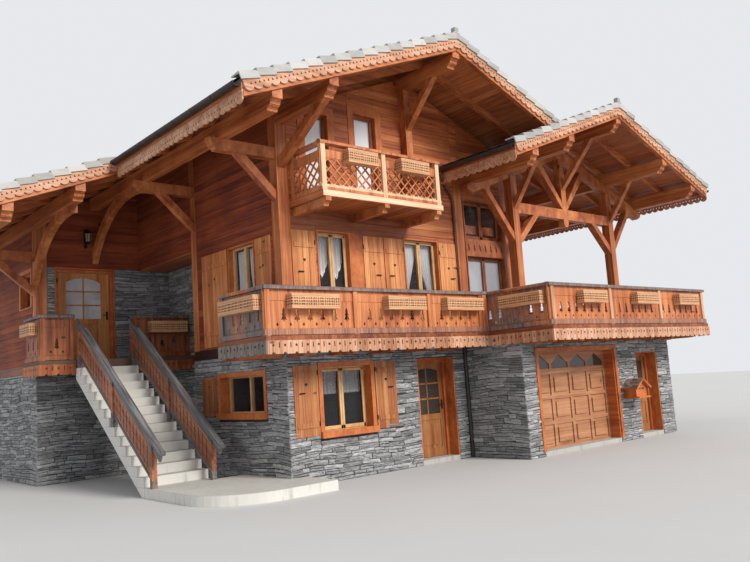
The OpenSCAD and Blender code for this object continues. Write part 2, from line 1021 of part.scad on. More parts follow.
// One side of the stair: a half-round handrail, a band, cut boards and a lower rail on three posts
module stair_balustrade() {
  slope = riser / going;
  run = (risers - 1) * going;
  pitch = atan(slope);
  long = run / cos(pitch);
  count = round(run / stair_board);
  step = run / count;
  color("sienna") {
    translate([0, flight_y, riser])
    rotate([pitch, 0, 0])
    run_y(0, long) {
      difference() {
        translate([0, stair_rail_h * cos(pitch)])
        circle(stair_rail_r);
        translate([-stair_rail_r - cut, stair_rail_h * cos(pitch) - stair_rail_r - stair_rail_cut])
        square([2 * stair_rail_r + 2 * cut, stair_rail_r]);
      }
      translate([-band_t / 2, (stair_rail_h - 190) * cos(pitch)])
      square([band_t, 110]);
      translate([-band_t / 2, 130 * cos(pitch)])
      square([band_t, 50]);
    }
    run_x(-board_t / 2, board_t / 2)
    difference() {
      polygon([
        [flight_y, riser + 150], [flight_y + run, riser + 150 + run * slope],
        [flight_y + run, riser + stair_rail_h + run * slope], [flight_y, riser + stair_rail_h]
      ]);
      for (i = [1 : count - 1])
        translate([flight_y + i * step, riser + i * step * slope]) {
          translate([-stair_slot / 2, 250])
          square([stair_slot, 400]);
          translate([0, 360])
          circle(stair_slot);
          translate([0, 540])
          circle(stair_slot);
        }
    }
    for (tread = [0, 7, 14])
      translate([
        -baluster_post / 2,
        tread == 0 ? flight_y - baluster_post : flight_y + (tread - 1) * going + 90,
        tread == 0 ? riser : tread * riser
      ])
      cube([baluster_post, baluster_post, stair_rail_h + (tread == 0 ? -40 : 40)]);
  }
}

module stair_balustrades() {
  place()
  for (x = [-stair_x + 60, stair_right - 60])
    translate([x, 0, 0])
    stair_balustrade();
}

// Roof timbers

// A beam along y whose top follows the roof, with a curved and stepped head at its front
module purlin(x, tops, y0, y1) {
  half = purlin_w / 2;
  under = min(tops) - purlin_d;
  color("sienna")
  difference() {
    run_y(y0, y1)
    polygon([[x - half, under], [x + half, under], [x + half, tops[2]], [x, tops[1]], [x - half, tops[0]]]);
    run_x(x - half - cut, x + half + cut)
    translate([y0, under])
    head_cut(purlin_d);
  }
}

// What is cut from the lower corner of a timber end: a hollow, a step and a second hollow
module head_cut(d) {
  translate([0, d * 0.32])
  circle(d * 0.3);
  translate([-cut, -cut])
  square([d * 0.36 + cut, d * 0.32 + cut]);
  translate([d * 0.36, 0])
  circle(d * 0.26);
}

// The roof's underside over the left edge, the middle and the right edge of a purlin
function main_tops(x) = [for (side = [-1, 0, 1]) main_z(x + side * purlin_w / 2) - roof_stack];
function terrace_tops(x) = [for (side = [-1, 0, 1]) terrace_z(x + side * purlin_w / 2) - roof_stack];
function main_purlin_top(x) = min(main_tops(x));
function terrace_purlin_top(x) = min(terrace_tops(x));

head_in = 30;
eave_in = 40;
eave_end = 10;
tail_in = 140;
module purlin_bodies() {
  front = head_in - gable_out;
  back = roof_back - tail_in;
  for (x = [outer_purlin_x, wall_purlin_x, ridge_x])
    purlin(x, main_tops(x), front, back);
  purlin(right_purlin_x, [for (side = [0 : 2]) main_purlin_top(main_w) - right_purlin_drop], 0, back);
  for (x = [wing_wall_purlin_x, wing_outer_purlin_x])
    purlin(x, main_tops(x), wing_roof_y + head_in, back);
}

module terrace_purlin_bodies() {
  front = head_in - terrace_front;
  for (x = [terrace_ridge_x - terrace_outer_off, terrace_ridge_x - truss_half])
    purlin(x, terrace_tops(x), front, 0);
  for (x = [terrace_ridge_x, terrace_ridge_x + truss_half, terrace_ridge_x + terrace_outer_off])
    purlin(x, terrace_tops(x), front, terrace_back - tail_in);
}

// The purlins and the room above them, which opens the tops of the walls
module purlin_notches() {
  for (lift = [0, 90])
    translate([0, 0, lift])
    purlin_bodies();
}

module purlins() {
  place() {
    purlin_bodies();
    terrace_purlin_bodies();
  }
}

// One straight rafter on the main roof
module main_rafter(x0, x1, y) {
  run_y(y, y + rafter_w)
  under_main(x0, x1, cover_t + seat, roof_stack - seat);
}

module terrace_rafter(x0, x1, y) {
  run_y(y, y + rafter_w)
  under_terrace(x0, x1, cover_t + seat, roof_stack - seat);
}

module rafters() {
  ridge_gap = 5;
  valley_stop = valley_under_x - 300;
  color("sienna")
  place() {
    for (y = [-gable_out : rafter_gap : roof_back - 60 - rafter_w]) {
      main_rafter(y > wing_roof_y ? wing_left + eave_in : main_left + eave_in, ridge_x - ridge_gap, y);
      main_rafter(ridge_x + ridge_gap, y > terrace_back ? main_right - eave_in : valley_stop, y);
    }
    main_rafter(wing_left + eave_in, 0, wing_roof_y);
    for (y = [-terrace_front : rafter_gap : terrace_back - 60 - rafter_w]) {
      terrace_rafter(y < -rafter_w ? terrace_left + eave_in : main_w + 1, terrace_ridge_x - ridge_gap, y);
      terrace_rafter(terrace_ridge_x + ridge_gap, terrace_right - eave_in, y);
    }
  }
}

// Roof coverings

module left_roof() {
  color("dimgray")
  place() {
    run_y(-gable_out, wing_roof_y)
    under_main(main_left, ridge_x, 0, cover_t);
    run_y(wing_roof_y, roof_back)
    under_main(wing_left, ridge_x, 0, cover_t);
  }
}

module right_roof() {
  top_x = valley_x - 2 * seat / (main_fall + terrace_fall);
  under_x = top_x - valley_x + valley_under_x;
  color("dimgray")
  place()
  difference() {
    run_y(-gable_out, roof_back)
    under_main(ridge_x, main_right, 0, cover_t);
    run_y(-gable_out - cut, terrace_back)
    polygon([
      [under_x - 2 * cut, terrace_z(under_x - 2 * cut) + 2 * seat], [top_x + 2 * cut, terrace_z(top_x + 2 * cut) + 2 * seat],
      [main_right + cut, ridge_z], [main_right + cut, 0], [under_x - 2 * cut, 0]
    ]);
  }
}

module terrace_left_roof() {
  color("dimgray")
  place() {
    run_y(-terrace_front, 0)
    under_terrace(terrace_left, terrace_ridge_x, 0, cover_t);
    run_y(0, terrace_back)
    under_terrace(valley_x, terrace_ridge_x, 0, cover_t);
  }
}

module terrace_right_roof() {
  color("dimgray")
  place()
  run_y(-terrace_front, terrace_back)
  under_terrace(terrace_ridge_x, terrace_right, 0, cover_t);
}

verge_h = 225;
verge_t = 30;
scallop = 180;
scallop_r = 95;
scallop_rise = 55;
pierce = 44;

// A scalloped board with pierced triangles that hangs below the x axis
module verge_board(length) {
  count = round(length / scallop);
  step = length / count;
  difference() {
    union() {
      translate([0, scallop_rise - verge_h])
      square([length, verge_h - scallop_rise]);
      for (i = [0 : count - 1])
        translate([(i + 0.5) * step, scallop_r - verge_h])
        circle(scallop_r);
    }
    for (i = [1 : 2 * count - 2])
      translate([(i + 0.5) * step / 2, -verge_h * 0.58])
      polygon([[-pierce / 2, 0], [pierce / 2, 0], [0, pierce]]);
  }
}

// The boards on both slopes of a roof, which meet upright under its ridge
module verge_pair(x, z, fall, left_end, right_end) {
  translate([x, z]) {
    verge_slope(fall, right_end - x);
    mirror([1, 0])
    verge_slope(fall, x - left_end);
  }
}

module verge_slope(fall, run) {
  pitch = atan(fall);
  intersection() {
    translate([0, -ridge_z])
    square([2 * run, 2 * ridge_z]);
    rotate(-pitch)
    verge_board(run / cos(pitch));
  }
}

module verge_boards() {
  color("burlywood")
  place() {
    run_y(-gable_out - verge_t, -gable_out)
    difference() {
      verge_pair(ridge_x, ridge_z, main_fall, main_left, valley_x - 2);
      polygon([
        [ridge_x, terrace_z(ridge_x) + 2 * seat], [valley_x, terrace_z(valley_x) + 2 * seat],
        [valley_x, 0], [ridge_x, 0]
      ]);
    }
    run_y(-terrace_front - verge_t, -terrace_front)
    verge_pair(terrace_ridge_x, terrace_ridge_z, terrace_fall, terrace_left, terrace_right);
    run_y(wing_roof_y - verge_t, wing_roof_y)
    intersection() {
      verge_pair(ridge_x, ridge_z, main_fall, wing_left, ridge_x + scallop);
      translate([wing_left, 0])
      square([main_left - wing_left, ridge_z]);
    }
    eave_board(main_left, main_z(main_left), -gable_out, wing_roof_y);
    eave_board(wing_left, main_z(wing_left), wing_roof_y, roof_back);
    eave_board(terrace_left, terrace_z(terrace_left), -terrace_front, 0);
    mirror([1, 0, 0]) {
      eave_board(-terrace_right, terrace_z(terrace_right), -terrace_front, terrace_back);
      eave_board(-main_right, main_z(main_right), terrace_back, roof_back);
    }
  }
}

// A board along y on the rafter ends, below the roof plane that ends at x and z
module eave_board(x, z, y0, y1) {
  run_x(x + eave_in - verge_t, x + eave_in)
  translate([y0 + eave_end, z - cover_t - seat])
  verge_board(y1 - y0 - 2 * eave_end);
}

gutter_r = 75;
gutter_t = 5;
module gutter(x, z, y0, y1) {
  run_y(y0, y1)
  translate([x, z])
  difference() {
    circle(gutter_r);
    circle(gutter_r - gutter_t);
    translate([-gutter_r - cut, 0])
    square([2 * gutter_r + 2 * cut, gutter_r + cut]);
  }
}

module gutters() {
  drop = 60;
  spout_r = 45;
  color("dimgray")
  place() {
    gutter(main_left - gutter_r, main_z(main_left) - drop, -gable_out, wing_roof_y - verge_t - 5);
    gutter(wing_left - gutter_r, main_z(wing_left) - drop, wing_roof_y, roof_back);
    gutter(terrace_left - gutter_r, terrace_z(terrace_left) - drop, -terrace_front, 0);
    gutter(terrace_right + gutter_r, terrace_z(terrace_right) - drop, -terrace_front, terrace_back);
    gutter(main_right + gutter_r, main_z(main_right) - drop, terrace_back, roof_back);
    translate([garage_x - spout_r, -spout_r, 0])
    cylinder(r = spout_r, h = first_z - deck_t);
  }
}

// Terrace frame

truss_post = 220;
truss_t = 180;
tie_d = 260;
king_w = 200;
king_foot = 194;
principal_d = 250;
principal_end = 3700;
strut_d = 180;
brace_d = 200;
brace_t = 140;
rear_truss_y = garage_back - 560;

// Levels in the terrace roof at a distance beside its ridge
function terrace_purlin_under(off) = terrace_purlin_top(terrace_ridge_x + off) - purlin_d;
function principal_top(off) = terrace_z(terrace_ridge_x + off) - roof_stack - purlin_d;
function principal_under(off) = principal_top(off) - principal_d;
truss_post_top = principal_under(truss_half) + 30;

module terrace_posts() {
  half = truss_post / 2;
  color("sienna")
  place() {
    for (side = [-1, 1])
      translate([terrace_ridge_x + side * truss_half - half, -truss_out - half, first_z])
      cube([truss_post, truss_post, truss_post_top - first_z]);
    translate([terrace_ridge_x + truss_half - half, rear_truss_y - half, first_z])
    cube([truss_post, truss_post, truss_post_top - first_z]);
  }
}

// A brace from an upright face at x = 0 up to a level face
module brace_outline(foot, reach, head) {
  shift = brace_d * reach / (head - foot);
  polygon([[0, foot], [0, foot + brace_d], [reach - shift, head], [reach, head]]);
}

// One half of the truss, to the right of the ridge
module truss_half_outline() {
  post_out = truss_half + truss_post / 2;
  post_inner = truss_half - truss_post / 2;
  strut_reach = 1000;
  knee_foot = 4800;
  knee_reach = 800;
  outer_foot = 4880;
  outer_reach = 960;
  outer_head = principal_under(post_out + outer_reach) + cut;
  translate([0, tie_z])
  square([post_inner, tie_d]);
  polygon([
    [0, tie_z - king_foot], [king_w * 0.3, tie_z - king_foot], [king_w / 2, tie_z - king_foot / 2],
    [king_w / 2, principal_top(0)], [0, principal_top(0)]
  ]);
  difference() {
    polygon([
      [0, principal_under(0)], [principal_end, principal_under(principal_end)],
      [principal_end, principal_top(principal_end)], [0, principal_top(0)]
    ]);
    translate([principal_end, principal_under(principal_end)])
    rotate(-atan(terrace_fall))
    mirror([1, 0])
    head_cut(principal_d);
  }
  polygon([
    [king_w / 2 - cut, tie_z + tie_d - cut], [king_w / 2 - cut, tie_z + tie_d + strut_d],
    [strut_reach - strut_d, principal_under(strut_reach - strut_d) + cut],
    [strut_reach, principal_under(strut_reach) + cut]
  ]);
  translate([post_inner, 0])
  mirror([1, 0])
  brace_outline(knee_foot, knee_reach, tie_z + cut);
  translate([post_out, 0])
  brace_outline(outer_foot, outer_reach, outer_head);
  polygon([
    [post_out + outer_reach - brace_d, outer_head - cut], [post_out + outer_reach, outer_head - cut],
    [post_out + outer_reach - brace_d, principal_under(post_out + outer_reach - brace_d) + cut]
  ]);
}

module truss_outline(x0) {
  difference() {
    intersection() {
      translate([x0 - terrace_ridge_x, 0])
      square([20000, 20000]);
      union() {
        truss_half_outline();
        mirror([1, 0])
        truss_half_outline();
      }
    }
    for (off = [0, truss_half, terrace_outer_off])
      for (side = [-1, 1])
        translate([side * off - purlin_w / 2, terrace_purlin_under(off)])
        square([purlin_w, 3 * purlin_d]);
    for (side = [-1, 1])
      translate([side * truss_half - truss_post / 2, 0])
      square([truss_post, truss_post_top]);
  }
}

module terrace_truss() {
  color("sienna")
  place() {
    run_y(-truss_out - truss_t / 2, -truss_out + truss_t / 2)
    translate([terrace_ridge_x, 0])
    truss_outline(0);
    run_y(rear_truss_y - truss_t / 2, rear_truss_y + truss_t / 2)
    translate([terrace_ridge_x, 0])
    truss_outline(main_w);
  }
}

// Braces and brackets

bracket_w = 180;
bracket_d = 220;
bracket_end = 200;
bracket_foot = 1020;
bow_r = 2700;
bow_d = 180;
bow_rise = 60;
bow_y = entry_y - 2150;
bow_front = 400;

// A beam from an upright face to a purlin, with its brace below
module bracket(x, y, purlin_x, reach) {
  under = main_purlin_top(purlin_x) - purlin_d;
  end = x - purlin_x + purlin_w / 2 + bracket_end;
  translate([x, 0, 0])
  mirror([1, 0, 0]) {
    run_y(y - bracket_w / 2, y + bracket_w / 2)
    difference() {
      translate([0, under - bracket_d])
      square([end, bracket_d]);
      translate([end, under - bracket_d])
      mirror([1, 0])
      head_cut(bracket_d);
    }
    run_y(y - brace_t / 2, y + brace_t / 2)
    brace_outline(under - bracket_foot, reach, under - bracket_d + cut);
  }
}

// A bowed brace from the entrance wall up to a purlin
module bow(x, purlin_x) {
  under = main_purlin_top(purlin_x) - purlin_d;
  run_x(x - brace_t / 2, x + brace_t / 2)
  intersection() {
    translate([bow_y - bow_front, under - bow_r / 2])
    square([entry_y - bow_y + bow_front, bow_r / 2]);
    translate([bow_y, under + bow_rise - bow_r])
    difference() {
      circle(bow_r);
      circle(bow_r - bow_d);
    }
  }
}

// A brace along y, from a face at y0 forward and up to a level face
module forward_brace(x, y0, foot, reach, head) {
  run_x(x - brace_t / 2, x + brace_t / 2)
  translate([y0, 0])
  mirror([1, 0])
  brace_outline(foot, reach, head);
}

module braces() {
  wall_under = main_purlin_top(wall_purlin_x) - purlin_d;
  post_face = -truss_out - truss_post / 2;
  color("sienna")
  place() {
    for (y = [0, side_post_y])
      bracket(0, y + post_w / 2, outer_purlin_x, 850);
    bracket(-wing_w, entry_y + post_w / 2, wing_outer_purlin_x, 950);
    bow(outer_purlin_x, outer_purlin_x);
    bow(wing_wall_purlin_x + 50, wing_wall_purlin_x);
    forward_brace(wall_purlin_x, 0, wall_under - 860, 1500, wall_under);
    for (side = [-1, 1])
      forward_brace(terrace_ridge_x + side * truss_half, post_face, terrace_purlin_under(truss_half) - 1020,
        740, terrace_purlin_under(truss_half));
    forward_brace(terrace_ridge_x, -truss_out - truss_t / 2, terrace_purlin_under(0) - 1090, 1000,
      terrace_purlin_under(0));
  }
}

// The post and the brace under the ridge purlin
module gable_frame() {
  king_under = main_purlin_top(ridge_x) - purlin_d;
  king_out = 200;
  king_h = 1500;
  color("sienna")
  place() {
    run_x(ridge_x - bracket_w / 2, ridge_x + bracket_w / 2)
    translate([-king_out, king_under - king_h])
    square([king_out, king_h]);
    forward_brace(ridge_x, cut - king_out, king_under - 920, 900, king_under);
  }
}

// Shutters and boxes

shutter_t = 30;
batten_t = 15;
batten_h = 90;
heart_side = 42;
shutter_gap = 40;
shutter_w = 550;
shutter_lift = 40;

// Boards with two battens and a heart
module shutter(w, z0, h) {
  translate([0, 0, z0]) {
    run_y(-shutter_t, 0)
    difference() {
      square([w, h]);
      translate([w / 2, h * 0.7])
      heart(heart_side);
    }
    for (level = [0.12, 0.84])
      translate([shutter_gap, -shutter_t - batten_t, h * level])
      cube([w - 2 * shutter_gap, batten_t + cut, batten_h]);
  }
}

module shutters() {
  ground_left = ground_window[0] - frame_w - shutter_gap / 2 - shutter_w;
  ground_right = ground_window[0] + ground_window[2] + frame_w + shutter_gap / 2;
  middle_left = middle_window[0] - shutter_gap / 2 - shutter_w;
  color("chocolate")
  place() {
    for (x = [ground_left, ground_right])
      on_front(x, 0)
      shutter(shutter_w, ground_window[1] - shutter_gap / 2, ground_window[3] + shutter_gap);
    for (x = [left_window[0] - shutter_gap - shutter_w, middle_left - shutter_w - shutter_gap / 2, middle_left,
      middle_window[0] + middle_window[1] + shutter_gap / 2])
      on_front(x, 0)
      shutter(shutter_w - 10, first_z + shutter_lift, french_h - 2 * shutter_lift);
    on_left(0, low_window[0] + 620 + frame_w + shutter_gap)
    shutter(620, low_window[1], low_window[3]);
    on_left(0, side_window[0] + shutter_gap + 1060)
    shutter(1060, first_z + shutter_lift, side_window[2] - shutter_lift);
    on_left(0, side_window[0] - side_window[1] - shutter_gap)
    shutter(shutter_w, first_z + shutter_lift, side_window[2] - shutter_lift);
  }
}

box_d = 180;
box_h = 260;
box_wall = 15;
box_drop = 164;
box_hole = 11;
front_boxes = [[-470, 1040], [1750, 1010], [3360, 1100]];
terrace_boxes = [[5720, 900], [7830, 930], [9760, 970]];
upper_boxes = [[810, 730], [2140, 770]];

// A box with rows of small holes in its front, hung on a band with its top at that level
module flower_box(length, top) {
  columns = round(length / 80);
  translate([0, -box_d, top - box_h])
  difference() {
    cube([length, box_d, box_h]);
    translate([box_wall, box_wall, box_wall])
    cube([length - 2 * box_wall, box_d - 2 * box_wall, box_h]);
    run_y(-cut, box_wall + cut)
    for (i = [1 : columns - 1], level = [0.3, 0.5, 0.7])
      translate([i * length / columns, box_h * level])
      circle(box_hole);
  }
}

module flower_boxes() {
  top = rail_top - box_drop;
  landing_top = first_z + landing_rail_h - box_drop;
  color("wheat")
  place() {
    for (place = front_boxes)
      on_front(place[0], -balcony_out + band_in)
      flower_box(place[1], top);
    for (place = terrace_boxes)
      on_front(place[0], terrace_front_y + band_in)
      flower_box(place[1], top);
    on_left(terrace_left_x + band_in, 360 - garage_out)
    flower_box(1070, top);
    on_left(-balcony_side_out + band_in, balcony_side_len - 230)
    flower_box(1200, top);
    for (place = upper_boxes)
      on_front(place[0], -upper_out + band_in)
      flower_box(place[1], attic_z + upper_rail_h - upper_band_drop + shutter_lift);
    on_front(stair_right + 385, landing_y + band_in)
    flower_box(930, landing_top);
    on_left(landing_x + band_in, entry_y - 150)
    flower_box(700, landing_top);
  }
}

// Doors: a child's x runs across the frame, y goes inward and z is up

stop_d = 40;
stop_w = 20;
hinge_r = 11;
pin_r = 6;
pin_gap = 0.3;
hinge_h = 60;
strap_t = 5;
strap_len = 260;
hinge_x = jamb_w + hinge_r + 1;
hinge_y = stop_d + leaf_gap + leaf_t + hinge_r;
function hinge_levels(h) = [250, h - 350];

// Each doorway: where its frame stands, where its glass begins and how far its head bows
entry_setback = 80;
entry_rise = 120;
front_rise = 60;
glass_share = 0.45;
entry_glass_share = 0.48;
entry_stile = 200;
module at_front_door() {
  place()
  translate([front_door_x, door_setback, ground_t])
  children();
}

module at_side_door() {
  place()
  translate([garage_x + side_door_x, door_setback - garage_out, ground_t])
  children();
}

module at_entry_door() {
  place()
  translate([-wing_w + entry_door_x, entry_y + entry_setback, first_z])
  children();
}

front_leaf_h = front_door_top - ground_t;
side_leaf_h = side_door_top - ground_t;

module door_frame(w, h, reveal) {
  difference() {
    union() {
      cube([w, jamb_d, h]);
      translate([0, -reveal, 0])
      cube([w, reveal + cut, h]);
    }
    translate([lining_t, -reveal - cut, -cut])
    cube([w - 2 * lining_t, reveal + cut, h - lining_t + cut]);
    translate([jamb_w + stop_w, -2 * cut, -cut])
    cube([w - 2 * jamb_w - 2 * stop_w, jamb_d + 4 * cut, h - jamb_w - stop_w + cut]);
    translate([jamb_w, stop_d, -cut])
    cube([w - 2 * jamb_w, jamb_d, h - jamb_w + cut]);
  }
}

stile = 120;
field = 70;
sunk = 15;
door_pane_t = 10;

// The glazed part of a leaf, with a flat or a bowed head
module pane_outline(w, h, rise) {
  intersection() {
    square([w, h]);
    if (rise > 0) {
      r = (w * w / 4 + rise * rise) / (2 * rise);
      translate([w / 2, h - r])
      circle(r);
    } else
      square([w, h]);
  }
}

// The leaf with a glazed upper part and a raised field in its lower panel
module door_leaf(w, h, glass_at, rise, side = stile) {
  leaf_w = w - 2 * jamb_w - 2 * leaf_gap;
  leaf_h = h - jamb_w - 2 * leaf_gap;
  pane_w = leaf_w - 2 * side;
  glass_z = leaf_h * glass_at;
  panel_z = 1.5 * stile;
  panel_h = glass_z - stile - panel_z;
  translate([jamb_w + leaf_gap, stop_d + leaf_gap, leaf_gap])
  difference() {
    cube([leaf_w, leaf_t, leaf_h]);
    translate([side, 0, glass_z])
    run_y(-cut, leaf_t + cut)
    pane_outline(pane_w, leaf_h - glass_z - stile, rise);
    for (y = [-cut, leaf_t - sunk])
      translate([side, 0, panel_z])
      run_y(y, y + sunk + cut)
      difference() {
        square([pane_w, panel_h]);
        translate([field, field])
        square([pane_w - 2 * field, panel_h - 2 * field]);
      }
  }
}

module door_glass(w, h, glass_at, rise, side = stile) {
  leaf_w = w - 2 * jamb_w - 2 * leaf_gap;
  leaf_h = h - jamb_w - 2 * leaf_gap;
  glass_z = leaf_h * glass_at;
  middle = stop_d + leaf_gap + leaf_t / 2;
  translate([jamb_w + leaf_gap + side, 0, leaf_gap + glass_z])
  run_y(middle - door_pane_t / 2, middle + door_pane_t / 2)
  pane_outline(leaf_w - 2 * side, leaf_h - glass_z - stile, rise);
}

// Barrels with their straps on the inner face, and a lever on each face
module door_fittings(w, h) {
  leaf_right = w - jamb_w - leaf_gap;
  inner = stop_d + leaf_gap + leaf_t;
  for (z = hinge_levels(h))
    translate([hinge_x, hinge_y, z])
    difference() {
      union() {
        cylinder(r = hinge_r, h = hinge_h);
        translate([0, -hinge_r, 0])
        cube([strap_len, strap_t, hinge_h]);
      }
      translate([0, 0, -cut])
      cylinder(r = pin_r + pin_gap, h = hinge_h + 2 * cut);
    }
  for (y = [stop_d + leaf_gap - 8, inner])
    translate([leaf_right - 85, y, 1000])
    cube([45, 8, 200]);
  translate([leaf_right - 70, stop_d + leaf_gap - 50, 1100])
  cube([15, 42, 15]);
  translate([leaf_right - 170, stop_d + leaf_gap - 50, 1100])
  cube([115, 15, 15]);
  translate([leaf_right - 70, inner + 8, 1100])
  cube([15, 42, 15]);
  translate([leaf_right - 170, inner + 35, 1100])
  cube([115, 15, 15]);
}

// Pins on arms that are fixed to the frame
module hinge_pins(h) {
  arm_h = 20;
  for (z = hinge_levels(h))
    translate([0, 0, z]) {
      translate([hinge_x, hinge_y, -pin_gap - arm_h])
      cylinder(r = pin_r, h = hinge_h + arm_h);
      translate([hinge_x - 60, jamb_d, -pin_gap - arm_h])
      cube([60, 5, arm_h]);
      translate([hinge_x - 8, hinge_y - 5, -pin_gap - arm_h])
      cube([14, jamb_d + 5 - hinge_y + 5, arm_h]);
    }
}

module door_frames() {
  color("peru") {
    at_front_door()
    door_frame(front_door_w, front_leaf_h, door_setback);
    at_side_door()
    door_frame(side_door_w, side_leaf_h, door_setback);
    at_entry_door()
    door_frame(entry_door_w, porch_stone_h, entry_setback);
  }
}

module door_pins() {
  color("dimgray") {
    at_front_door()
    hinge_pins(front_leaf_h);
    at_side_door()
    hinge_pins(side_leaf_h);
    at_entry_door()
    hinge_pins(porch_stone_h);
  }
}

module front_door() {
  color("peru")
  at_front_door()
  door_leaf(front_door_w, front_leaf_h, glass_share, front_rise);
}

module front_door_fittings() {
  color("dimgray")
  at_front_door()
  door_fittings(front_door_w, front_leaf_h);
}

module front_door_glass() {
  color("lightblue")
  at_front_door()
  door_glass(front_door_w, front_leaf_h, glass_share, front_rise);
}

module side_door() {
  color("peru")
  at_side_door()
  door_leaf(side_door_w, side_leaf_h, glass_share, 0);
}

module side_door_fittings() {
  color("dimgray")
  at_side_door()
  door_fittings(side_door_w, side_leaf_h);
}

module side_door_glass() {
  color("lightblue")
  at_side_door()
  door_glass(side_door_w, side_leaf_h, glass_share, 0);
}

module entry_door() {
  color("peru")
  at_entry_door()
  door_leaf(entry_door_w, porch_stone_h, entry_glass_share, entry_rise, entry_stile);
}

module entry_door_fittings() {
  color("dimgray")
  at_entry_door()
  door_fittings(entry_door_w, porch_stone_h);
}

module entry_door_glass() {
  color("lightblue")
  at_entry_door()
  door_glass(entry_door_w, porch_stone_h, entry_glass_share, entry_rise, entry_stile);
}

garage_leaf_t = 90;
garage_lining = 40;
garage_edge = 110;
garage_gap = 80;
garage_light_h = 300;
module garage_door() {
  leaf_h = garage_door_top - ground_t;
  column_w = (garage_door_w - 2 * garage_edge + garage_gap) / 4;
  panel_w = column_w - garage_gap;
  row_h = (leaf_h - garage_light_h - 2 * garage_gap) / 3;
  color("tan")
  place()
  translate([garage_x + garage_door_x, door_setback - garage_out, ground_t])
  difference() {
    union() {
      cube([garage_door_w, garage_leaf_t, leaf_h]);
      difference() {
        translate([0, -door_setback, 0])
        cube([garage_door_w, door_setback + cut, leaf_h]);
        translate([garage_lining, -door_setback - cut, -cut])
        cube([garage_door_w - 2 * garage_lining, door_setback + cut, leaf_h - garage_lining + cut]);
      }
    }
    run_y(-cut, 2 * sunk)
    for (column = [0 : 3]) {
      left = garage_edge + column * column_w;
      for (row = [0 : 2])
        translate([left, garage_gap / 2 + row * row_h])
        difference() {
          square([panel_w, row_h - garage_gap]);
          translate([field, field])
          square([panel_w - 2 * field, row_h - garage_gap - 2 * field]);
        }
      translate([left, leaf_h - garage_light_h - garage_gap])
      polygon([
        [0, 0], [panel_w, 0], [panel_w, garage_light_h * 0.35],
        [panel_w / 2, garage_light_h], [0, garage_light_h * 0.35]
      ]);
    }
  }
}

// A small gabled box on the pier beside the garage door
module letter_box() {
  w = 450;
  h = 230;
  depth = 350;
  eave = 90;
  rise = 150;
  roof = 35;
  slot_w = 240;
  color("sienna")
  place()
  translate([garage_x + (garage_door_x + garage_door_w + side_door_x) / 2, -garage_out, 1020]) {
    difference() {
      run_y(-depth, 0)
      polygon([[-w / 2, 0], [w / 2, 0], [w / 2, h], [0, h + rise], [-w / 2, h]]);
      translate([-slot_w / 2, -depth - cut, h * 0.7])
      cube([slot_w, roof, roof]);
    }
    run_y(-depth - eave, 0)
    polygon([
      [-w / 2 - eave, h - eave * rise * 2 / w], [0, h + rise], [w / 2 + eave, h - eave * rise * 2 / w],
      [w / 2 + eave, h + roof - eave * rise * 2 / w], [0, h + rise + roof],
      [-w / 2 - eave, h + roof - eave * rise * 2 / w]
    ]);
    box(-w / 2 - roof, w / 2 + roof, -depth - eave, 0, -roof, cut);
  }
}

ground_slab();
front_stone_walls();
side_stone_walls();
back_stone_walls();
stone_lintels();
first_floor();
terrace_floor();
attic_floor();
front_timber_wall();
left_timber_walls();
right_timber_wall();
back_timber_wall();
wing_timber_walls();
corner_posts();
balcony_deck();
upper_deck();
landing();
deck_joists();
deck_skirts();
front_balustrades();
side_balustrades();
upper_balustrade();
upper_side_balustrades();
landing_balustrades();
landing_side_balustrade();
stair_flight();
bottom_step();
stair_balustrades();
purlins();
rafters();
left_roof();
right_roof();
terrace_left_roof();
terrace_right_roof();
verge_boards();
gutters();
terrace_posts();
terrace_truss();
braces();
gable_frame();
window_frames();
window_glass();
shutters();
flower_boxes();
door_frames();
door_pins();
front_door();
front_door_fittings();
front_door_glass();
side_door();
side_door_fittings();
side_door_glass();
entry_door();
entry_door_fittings();
entry_door_glass();
garage_door();
letter_box();
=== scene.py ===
# Alpine chalet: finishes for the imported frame, with its stones, boards, slates, bars, curtains and irons
import math
import random
import bmesh
import bpy
from mathutils import Matrix, Vector

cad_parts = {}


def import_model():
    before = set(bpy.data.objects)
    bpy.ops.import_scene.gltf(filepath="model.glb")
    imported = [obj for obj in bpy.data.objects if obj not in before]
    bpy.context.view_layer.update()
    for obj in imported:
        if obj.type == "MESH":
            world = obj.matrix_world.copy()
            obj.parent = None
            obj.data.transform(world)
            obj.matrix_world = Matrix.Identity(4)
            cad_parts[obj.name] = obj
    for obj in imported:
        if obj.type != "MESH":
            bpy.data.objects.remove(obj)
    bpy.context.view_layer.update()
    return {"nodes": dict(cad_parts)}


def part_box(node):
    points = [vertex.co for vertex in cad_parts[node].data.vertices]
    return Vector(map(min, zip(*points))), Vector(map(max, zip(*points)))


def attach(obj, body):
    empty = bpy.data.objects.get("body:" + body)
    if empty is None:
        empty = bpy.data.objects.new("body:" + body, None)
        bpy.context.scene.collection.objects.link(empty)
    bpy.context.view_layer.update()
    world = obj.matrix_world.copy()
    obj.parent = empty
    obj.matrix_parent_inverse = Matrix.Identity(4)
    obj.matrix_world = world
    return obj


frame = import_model()
print("frame loaded")

# The frame's origin lies under the middle of the main block; measures below start at its front left corner
corner = Vector((-3.36, -5.40, 0.0))
mainWidth = 6.72
mainDepth = 10.80
mainRidge = {"x": 3.36, "z": 8.67, "fall": 0.39}
terraceRidge = {"x": 8.577, "z": 8.055, "fall": 0.375}
boxRidge = {"x": 8.684, "z": 1.435, "fall": 0.6667}  # on the small gabled box
rafterFoot = 0.30  # from the roof's top plane down to the wall tops
woodSteps = (0.36, 0.5, 0.65)  # where the three colours of a palette stand in its ramp
softSteps = (0.30, 0.5, 0.72)
chanceStep = 12.9898  # a sine with these two gives each board a number that looks random
chanceSpread = 43.7585


